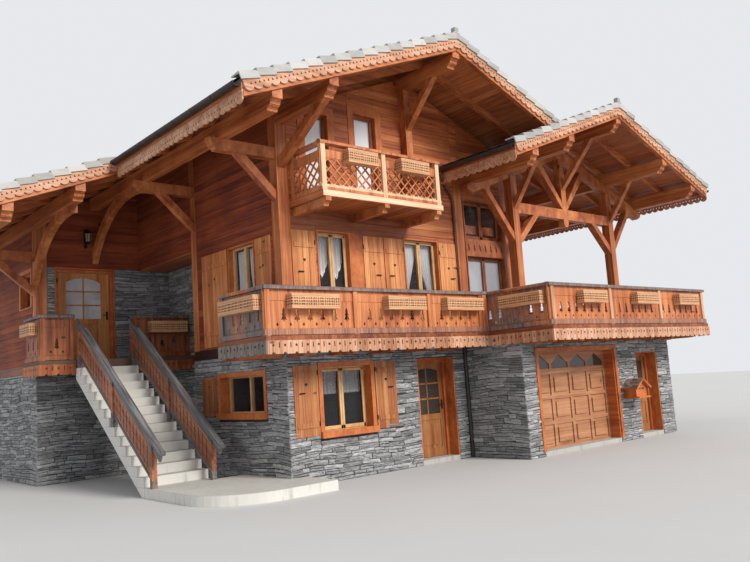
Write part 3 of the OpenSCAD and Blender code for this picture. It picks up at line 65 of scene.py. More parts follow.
def spot(x, y, z):  # from measures that start at the corner to the frame's own
    return Vector((x, y, z)) + corner


def roofHeight(ridge, x):
    return ridge["z"] - ridge["fall"] * abs(x - ridge["x"])


def scaled(values, share):
    return tuple(value * share for value in values)


def fillRamp(ramp, stops):
    while len(ramp.elements) < len(stops):
        ramp.elements.new(0.5)
    for element, (position, colour) in zip(ramp.elements, stops):
        element.position = position
        element.color = (*colour, 1.0)


# Shader values: operators on a Term add Math nodes, and node() adds any other node
class Term:
    def __init__(self, tree, socket):
        self.tree = tree
        self.socket = socket

    def node(self, kind, settings, values, output=0):
        made = self.tree.nodes.new("ShaderNode" + kind)
        for name, setting in settings.items():
            if name == "stops":
                fillRamp(made.color_ramp, setting)
            else:
                setattr(made, name, setting)
        for place, value in values.items():
            if isinstance(value, Term):
                self.tree.links.new(value.socket, made.inputs[place])
            else:
                made.inputs[place].default_value = value
        return Term(self.tree, made.outputs[output])

    def maths(self, operation, *others):
        return self.node("Math", {"operation": operation}, dict(enumerate((self, *others))))

    def vector(self, operation, other):
        return self.node("VectorMath", {"operation": operation}, {0: self, 1: other})

    def __add__(self, other):
        return self.maths("ADD", other)

    __radd__ = __add__

    def __sub__(self, other):
        return self.maths("SUBTRACT", other)

    def __rsub__(self, other):
        return self.node("Math", {"operation": "SUBTRACT"}, {0: other, 1: self})

    def __mul__(self, other):
        return self.maths("MULTIPLY", other)

    __rmul__ = __mul__

    def __truediv__(self, other):
        return self.maths("DIVIDE", other)

    def rise(self, low, high):  # 0 at low, 1 at high, smooth between
        return self.node("MapRange", {"interpolation_type": "SMOOTHSTEP"},
                         {"Value": self, "From Min": low, "From Max": high})

    def within(self, low, high, soft=0.002):
        return self.rise(low - soft, low + soft) * (1 - self.rise(high - soft, high + soft))

    def gap(self, pitch):  # how far a value is from the nearest multiple of a pitch
        return (self / pitch).maths("PINGPONG", 0.5) * pitch

    def part(self, axis):
        return self.node("SeparateXYZ", {}, {0: self}, axis)

    def measure(self, axis):  # x or y from the house's corner
        return self.part(axis) - corner[axis]

    def stretch(self, factors):
        return self.vector("MULTIPLY", factors)

    def shifted(self, tone, steps=(3.1, 5.3, 7.7)):  # the pattern jumps from one board or stone to the next
        jumps = {axis: tone * step for axis, step in enumerate(steps)}
        return self.vector("ADD", self.node("CombineXYZ", {}, jumps))

    def boards(self, axis, pitch, start=0.0):  # a random number for each board, and how far its joints are
        along = self.part(axis) - start
        wave = ((along / pitch).maths("FLOOR") * chanceStep).maths("SINE") * chanceSpread
        return wave.maths("WRAP", 1.0, 0.0), along.gap(pitch)

    def tone(self):  # the random number that each stone, board or slate carries
        return self.node("Attribute", {"attribute_name": "tone"}, {}, "Fac")

    def noise(self, scale, detail=4.0, roughness=0.6, distortion=0.0):
        return self.node("TexNoise", {}, {"Vector": self, "Scale": scale, "Detail": detail,
                                          "Roughness": roughness, "Distortion": distortion})

    def cells(self, scale, output="Distance"):
        return self.node("TexVoronoi", {}, {"Vector": self, "Scale": scale}, output)

    def ramp(self, *stops):
        return self.node("ValToRGB", {"stops": stops}, {0: self})

    def grain(self, palette, steps=softSteps):
        return self.ramp(*zip(steps, palette))

    def blend(self, first, second):  # self is the share of the second colour
        first, second = [c if isinstance(c, Term) else (*c, 1.0) for c in (first, second)]
        return self.node("Mix", {"data_type": "RGBA"}, {0: self, 6: first, 7: second}, 2)

    def bump(self, strength, depth):
        return self.node("Bump", {}, {"Strength": strength, "Distance": depth, "Height": self})


paints = {}


def newMaterial(name):
    paints[name] = bpy.data.materials.new(name)
    paints[name].use_nodes = True
    tree = paints[name].node_tree
    place = Term(tree, tree.nodes.new("ShaderNodeTexCoord").outputs["Object"])
    return tree.nodes["Principled BSDF"], place


def plug(shader, colour, rough, **more):
    for name, value in {"Base_Color": colour, "Roughness": rough, **more}.items():
        socket = shader.inputs[name.replace("_", " ")]
        if isinstance(value, Term):
            shader.id_data.links.new(value.socket, socket)
        else:
            socket.default_value = value


# Palettes run from the darkest grain to the lightest
warmWood = ((0.200, 0.036, 0.008), (0.400, 0.103, 0.024), (0.570, 0.205, 0.064))
shadeWood = ((0.100, 0.011, 0.002), (0.220, 0.036, 0.007), (0.330, 0.074, 0.018))
darkWood = ((0.100, 0.020, 0.006), (0.215, 0.052, 0.014), (0.350, 0.108, 0.032))
beamWood = ((0.220, 0.046, 0.011), (0.420, 0.120, 0.032), (0.590, 0.230, 0.080))
paleWood = ((0.307, 0.122, 0.057), (0.502, 0.255, 0.148), (0.651, 0.392, 0.264))
railWood = ((0.230, 0.056, 0.016), (0.470, 0.145, 0.046), (0.640, 0.260, 0.104))
stairWood = ((0.140, 0.036, 0.012), (0.340, 0.105, 0.036), (0.540, 0.230, 0.100))
freshWood = ((0.340, 0.092, 0.022), (0.560, 0.205, 0.062), (0.720, 0.330, 0.120))
caseWood = ((0.270, 0.058, 0.012), (0.450, 0.118, 0.026), (0.580, 0.190, 0.050))
sashWood = ((0.440, 0.225, 0.088), (0.600, 0.350, 0.155), (0.730, 0.470, 0.230))
# a darker copy of freshWood: painted shade on the shutters under the balcony
groundShadeWood = ((0.240, 0.064, 0.015), (0.390, 0.142, 0.043), (0.505, 0.230, 0.084))
entryWood = ((0.300, 0.094, 0.022), (0.500, 0.196, 0.054), (0.660, 0.310, 0.105))
doorWood = ((0.175, 0.051, 0.012), (0.290, 0.106, 0.029), (0.390, 0.172, 0.060))
garageWood = ((0.265, 0.098, 0.038), (0.390, 0.172, 0.078), (0.490, 0.246, 0.126))
basketWood = ((0.400, 0.175, 0.074), (0.560, 0.292, 0.145), (0.660, 0.390, 0.215))
eaveWood = ((0.185, 0.037, 0.010), (0.350, 0.094, 0.028), (0.490, 0.182, 0.070))
porchWood = ((0.110, 0.024, 0.008), (0.265, 0.072, 0.022), (0.430, 0.155, 0.060))
postWood = ((0.380, 0.180, 0.088), (0.560, 0.310, 0.170), (0.700, 0.450, 0.280))
# darker, redder boards under the gable's deck: unweathered wood, and painted shade under the deck
shelterShadeWood = ((0.125, 0.022, 0.006), (0.250, 0.064, 0.019), (0.360, 0.128, 0.050))
creamWood = ((0.480, 0.270, 0.150), (0.660, 0.420, 0.250), (0.780, 0.560, 0.380))
# near-black: painted shade behind the shutters' heart holes
heartShadeWood = ((0.006, 0.003, 0.002), (0.012, 0.006, 0.003), (0.020, 0.010, 0.006))
greyWood = (0.120, 0.118, 0.120)
sashBack = 0.086  # how far the window sashes stand behind the wall faces
sashDeeper = 0.110  # and how much more in the stone storey
stairFoot = 1.67  # y of the stair's foot
stairRise = 0.699  # and its height for each metre of its run
# How much the grain is squeezed on x, y and z
levelGrain = (1.3, 1.3, 34.0)
uprightGrain = (34.0, 34.0, 1.3)
depthGrain = (34.0, 1.3, 34.0)
crossGrain = (1.3, 34.0, 34.0)
mixedGrain = (9.0, 9.0, 5.0)


# Where a finish changes: 1 in that place, 0 elsewhere
def before(axis, limit):  # all that lies on the near side of a level on one axis
    edge = limit + corner[axis]
    return lambda place: 1 - place.part(axis).rise(edge - 0.002, edge + 0.002)


def porchPart(place):
    return 1 - before(1, 5.0)(place)


def posts(place, start, pitch):  # the posts of a balustrade, from the middle of the first
    return 1 - (place.measure(0) - start).gap(pitch).rise(0.0505, 0.0515)


def upperPosts(place):  # the posts and the lower rail of the balustrade in the gable
    z = place.part(2)
    return z.within(5.354, 5.434).maths("MAXIMUM", posts(place, 0.337, 1.47) * (1 - z.rise(6.166, 6.170)))


def terracePosts(place):  # the posts of the long balustrade over the garage
    z = place.part(2)
    tall = z.rise(2.800, 2.810) * (1 - z.rise(3.485, 3.490))
    return posts(place, 4.860, 2.1143) * tall * before(1, -2.0)(place)


# the bay under the roof: its casings and sashes take the dark palette as painted shade
def bayInShade(place):
    return place.measure(0).rise(4.90, 4.94) * before(1, 0.6)(place)


def upperPanes(place):  # front windows whose sashes are as dark as their frames: the attic's in their own colour, the bay's as painted shade under the roof
    return place.part(2).rise(4.80, 4.84).maths("MAXIMUM", bayInShade(place)) * before(1, 0.6)(place)


def shelteredAndShaded(place):  # wall boards under the deck in the gable: darker and redder, as unweathered boards and as painted shade under the deck
    x, z = place.measure(0), place.part(2)
    return before(1, 0.1)(place) * z.rise(4.55, 4.80) * (1 - z.rise(5.15, 5.30)) * (1 - x.rise(3.2, 4.2))


def everywhere(place):
    return place.noise(0.8, 4.0, 0.6).rise(0.30, 0.62)


def railTops(place):  # the handrails and lower rails of the balconies
    z = place.part(2)
    return z.rise(3.47, 3.50) + (1 - z.rise(2.79, 2.83)) * 0.55


def landingTop(place):
    return place.part(2).rise(3.58, 3.62)


def stairRail(place):
    height = place.part(2) - (place.measure(1) - stairFoot) * stairRise
    worn = place.noise(1.2, 4.0, 0.6).rise(0.35, 0.60)
    return height.rise(0.93, 0.97) + (1 - height.rise(0.42, 0.46)) * 0.8 + worn * 0.25


def leftSkirt(place):  # the skirt under the balcony's left end stands in the weather
    return place.measure(0).within(-1.395, -0.93, 0.005)


def woodMaterial(name, stops, along, boards=None, grey=None, other=None, toned=False, coarse=1.0, gloss=0.42,
                 slope=0.0):
    shader, place = newMaterial(name)
    moved, shift, groove = place, None, None
    if boards:
        shift, edge = place.boards(*boards)
        groove = edge.rise(0.0005, 0.005)
    if toned:
        shift = place.tone()
    if slope:  # the grain follows a rise along y
        x, y, z = [place.part(axis) for axis in range(3)]
        level, rise = y * math.cos(slope) + z * math.sin(slope), z * math.cos(slope) - y * math.sin(slope)
        moved = place.node("CombineXYZ", {}, {0: x, 1: level, 2: rise})
    if shift:
        moved = moved.shifted(shift)
    fine = moved.stretch(along).noise(coarse, 5.0, 0.62, 0.5)
    broad = moved.stretch(scaled(along, 0.22)).noise(coarse, 3.0, 0.5, 0.8)
    value = (fine * 0.5 + broad * 0.5) * 0.95 + (place.noise(0.9) - 0.5) * 0.34 + 0.02
    if shift:
        value = value + (shift - 0.5) * 0.12
    colour = value.grain(stops, woodSteps)
    if other:  # another palette in one place
        otherStops, there = other
        colour = there(place).blend(colour, value.grain(otherStops, woodSteps))
    spots = moved.stretch([0.45 + 0.55 * (a < 5) for a in along])
    chosen = spots.cells(2.6, "Color").part(0).rise(0.40, 0.45)
    knot = (1 - spots.cells(2.6).rise(0.03, 0.095)) * chosen
    colour = knot.blend(colour, scaled(stops[0], 0.42))
    height = fine * 0.35
    if groove:
        colour = (1 - groove).blend(colour, scaled(stops[0], 0.25))
        height = height + groove
    if grey:
        where, amount = grey
        weathered = fine.rise(0.35, 0.65).blend(scaled(greyWood, 0.45), scaled(greyWood, 1.6))
        colour = (where(place) * amount).blend(colour, weathered)
    plug(shader, colour, fine * 0.25 + gloss, Normal=height.bump(0.5, 0.004))


def soffitMaterial(name, ridge, stops):  # boards below, and felt on the covering's edge and top
    shader, place = newMaterial(name)
    off = (place.part(0) - (ridge["x"] + corner.x)).maths("ABSOLUTE")
    depth = ridge["z"] - off * ridge["fall"] - place.part(2)
    shift, edge = place.boards(0, 0.16)
    groove = edge.rise(0.001, 0.006)
    fine = place.shifted(shift).stretch(depthGrain).noise(1.0, 5.0, 0.62, 0.5)
    boards = (fine * 0.8 + (shift - 0.5) * 0.2 + 0.06).grain(stops)
    boards = (1 - groove).blend(boards, (0.03, 0.012, 0.005))
    felt = place.noise(9.0, 5.0, 0.7).blend((0.035, 0.036, 0.038), (0.08, 0.08, 0.082))
    plug(shader, depth.rise(0.05, 0.06).blend(felt, boards), fine * 0.25 + 0.45,
         Normal=(fine * 0.3 + groove).bump(0.5, 0.004))


def stoneMaterial(name):
    shader, place = newMaterial(name)
    tone = place.tone()
    moved = place.shifted(tone, (11.0, 7.0, 5.0))
    grain = moved.stretch((9.0, 9.0, 26.0)).noise(1.0, 7.0, 0.68, 0.6)
    speck = moved.noise(60.0, 3.0, 0.7)
    value = grain * 0.8 + speck * 0.15 + (tone - 0.5) * 0.38 + 0.085
    colour = value.ramp((0.22, (0.105, 0.107, 0.110)), (0.42, (0.205, 0.208, 0.214)),
                        (0.60, (0.320, 0.324, 0.332)), (0.85, (0.52, 0.52, 0.52)))
    rust = moved.noise(5.0).rise(0.60, 0.74) * (1 - tone) * 0.4
    colour = rust.blend(colour, (0.27, 0.215, 0.16))
    vein = (moved.stretch((1.0, 1.0, 5.0)).noise(7.0, 2.0, 0.5, 1.5) - 0.5).maths("ABSOLUTE")
    colour = ((1 - vein.rise(0.004, 0.014)) * 0.4).blend(colour, (0.52, 0.52, 0.50))
    layer = (moved.stretch((2.4, 2.4, 26.0)).noise(1.0, 3.0, 0.6, 0.8) - 0.5).maths("ABSOLUTE")
    crack = 1 - layer.rise(0.004, 0.024)  # between the thin layers of a stone
    colour = (crack * 0.60).blend(colour, (0.055, 0.056, 0.060))
    plug(shader, colour, grain * 0.2 + 0.72, Normal=(grain + speck * 0.4 - crack * 0.5).bump(0.9, 0.016))


def mortarMaterial(name):
    shader, place = newMaterial(name)
    grain = place.noise(14.0, 6.0, 0.7)
    layers = place.stretch((3.0, 3.0, 16.0)).noise(1.0, 4.0, 0.6, 0.4)
    # near-black: the mortar's own dark grey, darkened further as painted shade in the deep joints between
    # the stones
    colour = (grain * 0.5 + layers * 0.5).ramp((0.32, (0.020, 0.020, 0.021)), (0.55, (0.050, 0.050, 0.052)),
                                               (0.75, (0.11, 0.11, 0.11)))
    plug(shader, colour, grain * 0.1 + 0.85, Normal=(grain + layers).bump(0.8, 0.012))


def concreteMaterial(name, dark, pale, joint):
    shader, place = newMaterial(name)
    z = place.part(2)
    cloud = place.noise(1.6, 5.0, 0.6)
    sand = place.noise(95.0, 3.0, 0.7)
    runs = place.stretch((7.0, 7.0, 0.9)).noise(1.0)
    pits = 1 - place.cells(42.0).rise(0.02, 0.10)
    colour = (cloud * 0.55 + sand * 0.25 + runs * 0.2).blend(dark, pale)
    damp = runs.rise(0.52, 0.72) * (1 - z.rise(0.05, 0.7)) * 0.55
    line = (1 - z.gap(joint).rise(0.002, 0.008)) * 0.45
    for share, shade in ((damp, 0.55), (line, 0.6), (pits * 0.35, 0.5)):
        colour = share.blend(colour, scaled(dark, shade))
    plug(shader, colour, cloud * 0.15 + 0.74, Normal=(sand * 0.5 - pits).bump(0.45, 0.003))


def slateMaterial(name, dark, pale, moss):
    shader, place = newMaterial(name)
    layers = place.stretch((3.0, 14.0, 14.0)).noise(1.0, 6.0, 0.65, 0.4)
    colour = (layers * 0.7 + (place.tone() - 0.5) * 0.6 + 0.15).ramp((0.25, dark), (0.75, pale))
    colour = (place.noise(6.5, 5.0, 0.7).rise(0.58, 0.72) * 0.5).blend(colour, moss)
    plug(shader, colour, layers * 0.25 + 0.5, Normal=layers.bump(0.6, 0.006))


def casementMaterial(name, caseStops, sashStops):
    # The sashes stand back from the wall faces; the boards round them are redder
    shader, place = newMaterial(name)
    fine = place.stretch(mixedGrain).noise(1.0, 5.0, 0.62, 0.5)
    value = fine * 0.8 + place.noise(0.8, 3.0, 0.55) * 0.25
    x, y = place.measure(0), place.measure(1)
    back = (1 - place.part(2).rise(2.55, 2.60)) * sashDeeper + sashBack
    sash = 1 - upperPanes(place)
    for depth in (x, y, mainWidth - x, mainDepth - y):
        sash = sash * (depth - back).rise(-0.002, 0.002)
    # the bay's casings take the dark palette: painted shade under the roof
    cased = bayInShade(place).blend(value.grain(caseStops), value.grain(darkWood))
    plug(shader, sash.blend(cased, value.grain(sashStops)), fine * 0.25 + 0.42,
         Normal=(fine * 0.35).bump(0.5, 0.004))


def metalMaterial(name, dark, pale, metallic, gloss):
    shader, place = newMaterial(name)
    wear = place.noise(18.0, 5.0, 0.7)
    colour = (wear * 0.6 + place.noise(2.2) * 0.4).rise(0.35, 0.75).blend(dark, pale)
    plug(shader, colour, wear * 0.3 + gloss, Normal=wear.bump(0.25, 0.001), Metallic=metallic)


def glassMaterial(name, dark, pale, cover):
    shader, place = newMaterial(name)
    film = place.noise(1.3)
    smear = place.stretch((2.0, 2.0, 9.0)).noise(2.0, 3.0, 0.5)
    x, z = place.measure(0), place.part(2)
    front = before(1, 0.6)(place)
    loft = z.rise(5.20, 5.25) * x.within(0.25, 2.85, 0.05) * front  # painted reflection: these panes are coloured pale for the sky they mirror
    # painted reflection: the bay's panes are coloured pale grey for the sky they mirror
    bay = (1 - z.rise(4.60, 4.70)) * z.rise(2.60, 2.65) * x.rise(5.0, 5.05) * front
    colour = loft.blend(film.blend(dark, pale), (0.88, 0.90, 0.93))
    colour = bay.blend(colour, film.blend((0.30, 0.31, 0.34), (0.48, 0.49, 0.53)))
    plug(shader, colour, smear * 0.06 + 0.01, Alpha=film * 0.06 + cover + loft * 0.72 + bay * 0.55,
         Normal=smear.bump(0.04, 0.002), Specular_IOR_Level=0.8)


# Undersides of the flower boxes: on the balcony, and how much higher by the stair and in the gable
boxLevels = {"balcony": 3.14, "stair": 0.121, "gable": 2.70}


def basketMaterial(name, stops, pitch, slat):
    shader, place = newMaterial(name)
    z = place.part(2)
    far = place.measure(1).rise(4.4, 4.5) * boxLevels["stair"]
    height = z - boxLevels["balcony"] - far - z.rise(4.6, 4.7) * boxLevels["gable"]
    # the holes are painted, not cut: their dark brown is painted shade for the inside of the box
    hole = height.within(0.035, 0.215, 0.001)
    for along in (place.part(0) + place.part(1), height):  # x or y hardly changes on a side of a box
        hole = hole * along.gap(pitch).rise(slat * 0.5 - 0.001, slat * 0.5 + 0.001)
    fine = place.stretch(levelGrain).noise(1.0, 5.0, 0.62, 0.5)
    plug(shader, hole.blend(fine.grain(stops), (0.075, 0.030, 0.012)), fine * 0.25 + 0.5,
         Normal=(fine * 0.3 - hole).bump(0.6, 0.006))


def clothMaterial(name, lace):
    shader, place = newMaterial(name)
    weave = place.stretch((420.0, 420.0, 420.0)).noise(1.0, 2.0, 0.5)
    hem = place.tone().rise(0.86, 0.90)
    colour = (weave * 0.4 + place.noise(4.0, 3.0, 0.5) * 0.6).blend((0.76, 0.76, 0.79), (0.88, 0.88, 0.90))
    if lace:
        cover = 1 - place.cells(26.0).rise(0.16, 0.22) * place.cells(90.0).rise(0.10, 0.22) * 0.6
    else:
        cover = weave * 0.1 + 0.80 + hem * 0.10
    plug(shader, hem.blend(colour, (0.96, 0.96, 0.95)), weave * 0.15 + 0.75, Alpha=cover,
         Normal=weave.bump(0.3, 0.0006))


woodMaterial("wallWood", warmWood, levelGrain, boards=(2, 0.145, 2.685))
woodMaterial("shadyWall", shadeWood, levelGrain, boards=(2, 0.145, 2.685))
woodMaterial("boardWood", warmWood, levelGrain, toned=True, other=(shelterShadeWood, shelteredAndShaded))
woodMaterial("shadyBoards", shadeWood, levelGrain, toned=True, gloss=0.62)
stoneMaterial("stone")
mortarMaterial("mortarAndShade")
concreteMaterial("stairConcrete", (0.44, 0.43, 0.39), (0.78, 0.77, 0.73), 0.179)
concreteMaterial("floorConcrete", (0.30, 0.29, 0.27), (0.50, 0.49, 0.46), 0.6)
concreteMaterial("landingConcrete", (0.100, 0.056, 0.036), (0.180, 0.112, 0.078), 0.6)
slateMaterial("slate", (0.022, 0.024, 0.028), (0.085, 0.088, 0.095), (0.075, 0.080, 0.065))
slateMaterial("capSlate", (0.30, 0.295, 0.285), (0.50, 0.485, 0.47), (0.25, 0.245, 0.23))
slateMaterial("shingleWood", (0.085, 0.052, 0.038), (0.290, 0.195, 0.150), (0.20, 0.165, 0.13))
metalMaterial("gutterMetal", (0.030, 0.022, 0.020), (0.085, 0.060, 0.052), 0.45, 0.34)
metalMaterial("pipeMetal", (0.110, 0.036, 0.018), (0.200, 0.075, 0.038), 0.25, 0.38)
metalMaterial("iron", (0.010, 0.010, 0.011), (0.040, 0.038, 0.036), 0.8, 0.40)
glassMaterial("windowGlass", (0.050, 0.054, 0.060), (0.110, 0.115, 0.125), 0.10)
glassMaterial("doorGlass", (0.028, 0.024, 0.019), (0.095, 0.084, 0.070), 0.76)
# painted reflection: the entry door's panes are coloured pale grey-blue for the bright sky they mirror
glassMaterial("entryGlass", (0.240, 0.250, 0.265), (0.900, 0.920, 0.950), 0.78)
glassMaterial("lampGlass", (0.30, 0.22, 0.12), (0.48, 0.38, 0.24), 0.78)
clothMaterial("curtainCloth", False)
clothMaterial("laceCloth", True)
for name, along in (("uprightBeam", uprightGrain), ("depthBeam", depthGrain), ("crossBeam", crossGrain)):
    woodMaterial(name, beamWood, along, coarse=0.8)
for name, stops, along in (("mixedBeam", beamWood, mixedGrain), ("upperSideRail", railWood, uprightGrain),
                           ("creamTimber", creamWood, levelGrain), ("vergeWood", paleWood, crossGrain),
                           ("shutterBack", heartShadeWood, uprightGrain), ("caseTimber", caseWood, mixedGrain),
                           ("doorPaint", doorWood, uprightGrain), ("entryPaint", entryWood, uprightGrain)):
    woodMaterial(name, stops, along)
woodMaterial("skirtWood", paleWood, uprightGrain, boards=(0, 0.1185), grey=(leftSkirt, 0.85),
             other=(warmWood, porchPart))
woodMaterial("frontRail", railWood, uprightGrain, grey=(railTops, 0.85), other=(postWood, terracePosts))
woodMaterial("sideRail", railWood, uprightGrain, grey=(everywhere, 0.9))
woodMaterial("upperRail", railWood, uprightGrain, other=(creamWood, upperPosts))
woodMaterial("landingRail", porchWood, uprightGrain, grey=(landingTop, 0.8))
woodMaterial("stairRailWood", stairWood, depthGrain, slope=math.atan(stairRise), grey=(stairRail, 0.92))
# the shutters below z 2.5 take the darker copy: painted shade under the balcony
woodMaterial("shutterWood", freshWood, uprightGrain, boards=(0, 0.137), other=(groundShadeWood, before(2, 2.5)))
casementMaterial("casementWood", caseWood, sashWood)
# attic sashes keep their own darker colour; the bay's are painted shade under the roof
woodMaterial("sashTimber", sashWood, mixedGrain, other=(darkWood, upperPanes))
woodMaterial("undersideWood", warmWood, depthGrain, boards=(0, 0.14))
woodMaterial("garagePaint", garageWood, levelGrain, other=(caseWood, before(1, -1.37)))
basketMaterial("basketWeave", basketWood, 0.050, 0.024)
woodMaterial("deckWood", darkWood, depthGrain, boards=(0, 0.14))
soffitMaterial("mainSoffit", mainRidge, railWood)
soffitMaterial("terraceSoffit", terraceRidge, eaveWood)
print("materials made")

finishes = {
    "floorConcrete": "ground_slab terrace_floor", "landingConcrete": "landing",
    "stairConcrete": "stair_flight bottom_step",
    "mortarAndShade": "front_stone_walls side_stone_walls back_stone_walls stone_lintels",
    "deckWood": "first_floor balcony_deck", "undersideWood": "attic_floor upper_deck",
    "wallWood": "front_timber_wall right_timber_wall back_timber_wall",
    "shadyWall": "left_timber_walls wing_timber_walls", "uprightBeam": "corner_posts terrace_posts",
    "mixedBeam": "deck_joists terrace_truss braces gable_frame",
    "depthBeam": "purlins", "crossBeam": "rafters",
    "skirtWood": "deck_skirts", "frontRail": "front_balustrades", "sideRail": "side_balustrades",
    "upperRail": "upper_balustrade", "upperSideRail": "upper_side_balustrades",
    "landingRail": "landing_balustrades landing_side_balustrade", "stairRailWood": "stair_balustrades",
    "mainSoffit": "left_roof right_roof", "terraceSoffit": "terrace_left_roof terrace_right_roof",
    "vergeWood": "verge_boards", "gutterMetal": "gutters", "casementWood": "window_frames",
    "windowGlass": "window_glass", "shutterWood": "shutters", "basketWeave": "flower_boxes",
    "caseTimber": "door_frames letter_box", "doorPaint": "front_door side_door",
    "doorGlass": "front_door_glass side_door_glass", "entryPaint": "entry_door",
    "entryGlass": "entry_door_glass", "garagePaint": "garage_door",
    "iron": "door_pins front_door_fittings side_door_fittings entry_door_fittings"}
for finish, nodes in finishes.items():
    for node in nodes.split():
        for materialSlot in frame["nodes"][node].material_slots:
            materialSlot.material = paints[finish]
print("finishes laid on the frame's nodes")


# Pieces of the scene itself, made in measures from the house's corner
def addPiece(name, mesh, finish, body="house", smooth=False):
    mesh.materials.clear()
    mesh.materials.append(paints[finish])
    for polygon in mesh.polygons:
        polygon.use_smooth = smooth
    piece = bpy.data.objects.new(name, mesh)
    bpy.context.scene.collection.objects.link(piece)
    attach(piece, body)
    return piece


def meshOf(name, vertices, faces):
    mesh = bpy.data.meshes.new(name)
    mesh.from_pydata([tuple(v) for v in vertices], [], faces)
    mesh.validate()
    return mesh


def meshFromWork(name, work):
    bmesh.ops.recalc_face_normals(work, faces=work.faces)
    mesh = bpy.data.meshes.new(name)
    work.to_mesh(mesh)
    work.free()
    return mesh


def addWork(name, work, finish, body="house"):
    addPiece(name, meshFromWork(name, work), finish, body)


def addRings(work, rings):  # a closed form from rings of points, joined in order
    rows = [[work.verts.new(point) for point in ring] for ring in rings]
    for low, high in zip(rows, rows[1:]):
        for k in range(len(low)):
            after = (k + 1) % len(low)
            work.faces.new((low[k], low[after], high[after], high[k]))
    work.faces.new(rows[0])
    work.faces.new(rows[-1])


def ringMesh(name, rings):
    work = bmesh.new()
    addRings(work, rings)
    return meshFromWork(name, work)


def addBlock(work, low, high, chamfer):
    middle = (Vector(low) + Vector(high)) / 2 + corner
    sizes = Matrix.Diagonal((*(Vector(high) - Vector(low)), 1.0))
    made = bmesh.ops.create_cube(work, size=1.0, matrix=Matrix.Translation(middle) @ sizes)
    if chamfer:
        edges = list({edge for vertex in made["verts"] for edge in vertex.link_edges})
        bmesh.ops.bevel(work, geom=edges, offset=chamfer, segments=1, affect="EDGES")


def addTube(work, points, radius, sides):
    points = [Vector(point) + corner for point in points]
    angles = [2 * math.pi * k / sides for k in range(sides)]
    circle = [Vector((math.cos(angle), math.sin(angle), 0)) * radius for angle in angles]
    rings = []
    for i, point in enumerate(points):
        ahead = points[min(i + 1, len(points) - 1)] - points[max(i - 1, 0)]
        turn = ahead.to_track_quat("Z", "Y").to_matrix()
        rings.append([point + turn @ step for step in circle])
    addRings(work, rings)


def addCone(work, foot, low, high, tall, sides):
    middle = Vector(foot) + Vector((0, 0, tall / 2)) + corner
    bmesh.ops.create_cone(work, cap_ends=True, segments=sides, radius1=low, radius2=high, depth=tall,
                          matrix=Matrix.Translation(middle))


# The scatter tree sets one of several kinds on every point, turned and sized by the point's own values
pointValues = (("turn", "FLOAT_VECTOR"), ("size", "FLOAT_VECTOR"), ("pick", "INT"), ("tone", "FLOAT"))


def makeScatterTree():
    tree = bpy.data.node_groups.new("scatter", "GeometryNodeTree")
    sockets = {"Places": "Geometry", "Kinds": "Collection", "Wobble": "Float", "Seed": "Int",
               "Finish": "Material"}
    for name, kind in sockets.items():
        tree.interface.new_socket(name, in_out="INPUT", socket_type="NodeSocket" + kind)
    tree.interface.new_socket("Made", in_out="OUTPUT", socket_type="NodeSocketGeometry")
    start = tree.nodes.new("NodeGroupInput").outputs
    end = tree.nodes.new("NodeGroupOutput")

    def add(kind, settings, values):
        made = tree.nodes.new(kind)
        for key, value in settings.items():
            setattr(made, key, value)
        for key, value in values.items():
            if isinstance(value, bpy.types.NodeSocket):
                tree.links.new(value, made.inputs[key])
            else:
                made.inputs[key].default_value = value
        return made.outputs[0]

    turn, size, pick = [add("GeometryNodeInputNamedAttribute", {"data_type": kind}, {"Name": name})
                        for name, kind in pointValues[:3]]
    chance = add("FunctionNodeRandomValue", {"data_type": "FLOAT_VECTOR"},
                 {0: (-1, -1, -1), 1: (1, 1, 1), "Seed": start["Seed"]})
    wobble = add("ShaderNodeVectorMath", {"operation": "SCALE"}, {0: chance, "Scale": start["Wobble"]})
    turned = add("ShaderNodeVectorMath", {"operation": "ADD"}, {0: turn, 1: wobble})
    rotation = add("FunctionNodeEulerToRotation", {}, {0: turned})
    kinds = add("GeometryNodeCollectionInfo", {},
                {"Collection": start["Kinds"], "Separate Children": True, "Reset Children": True})
    placed = add("GeometryNodeInstanceOnPoints", {}, {
        "Points": start["Places"], "Instance": kinds, "Pick Instance": True, "Instance Index": pick,
        "Rotation": rotation, "Scale": size})
    real = add("GeometryNodeRealizeInstances", {}, {0: placed})
    painted = add("GeometryNodeSetMaterial", {}, {"Geometry": real, "Material": start["Finish"]})
    tree.links.new(painted, end.inputs[0])
    return tree


scatterTree = makeScatterTree()


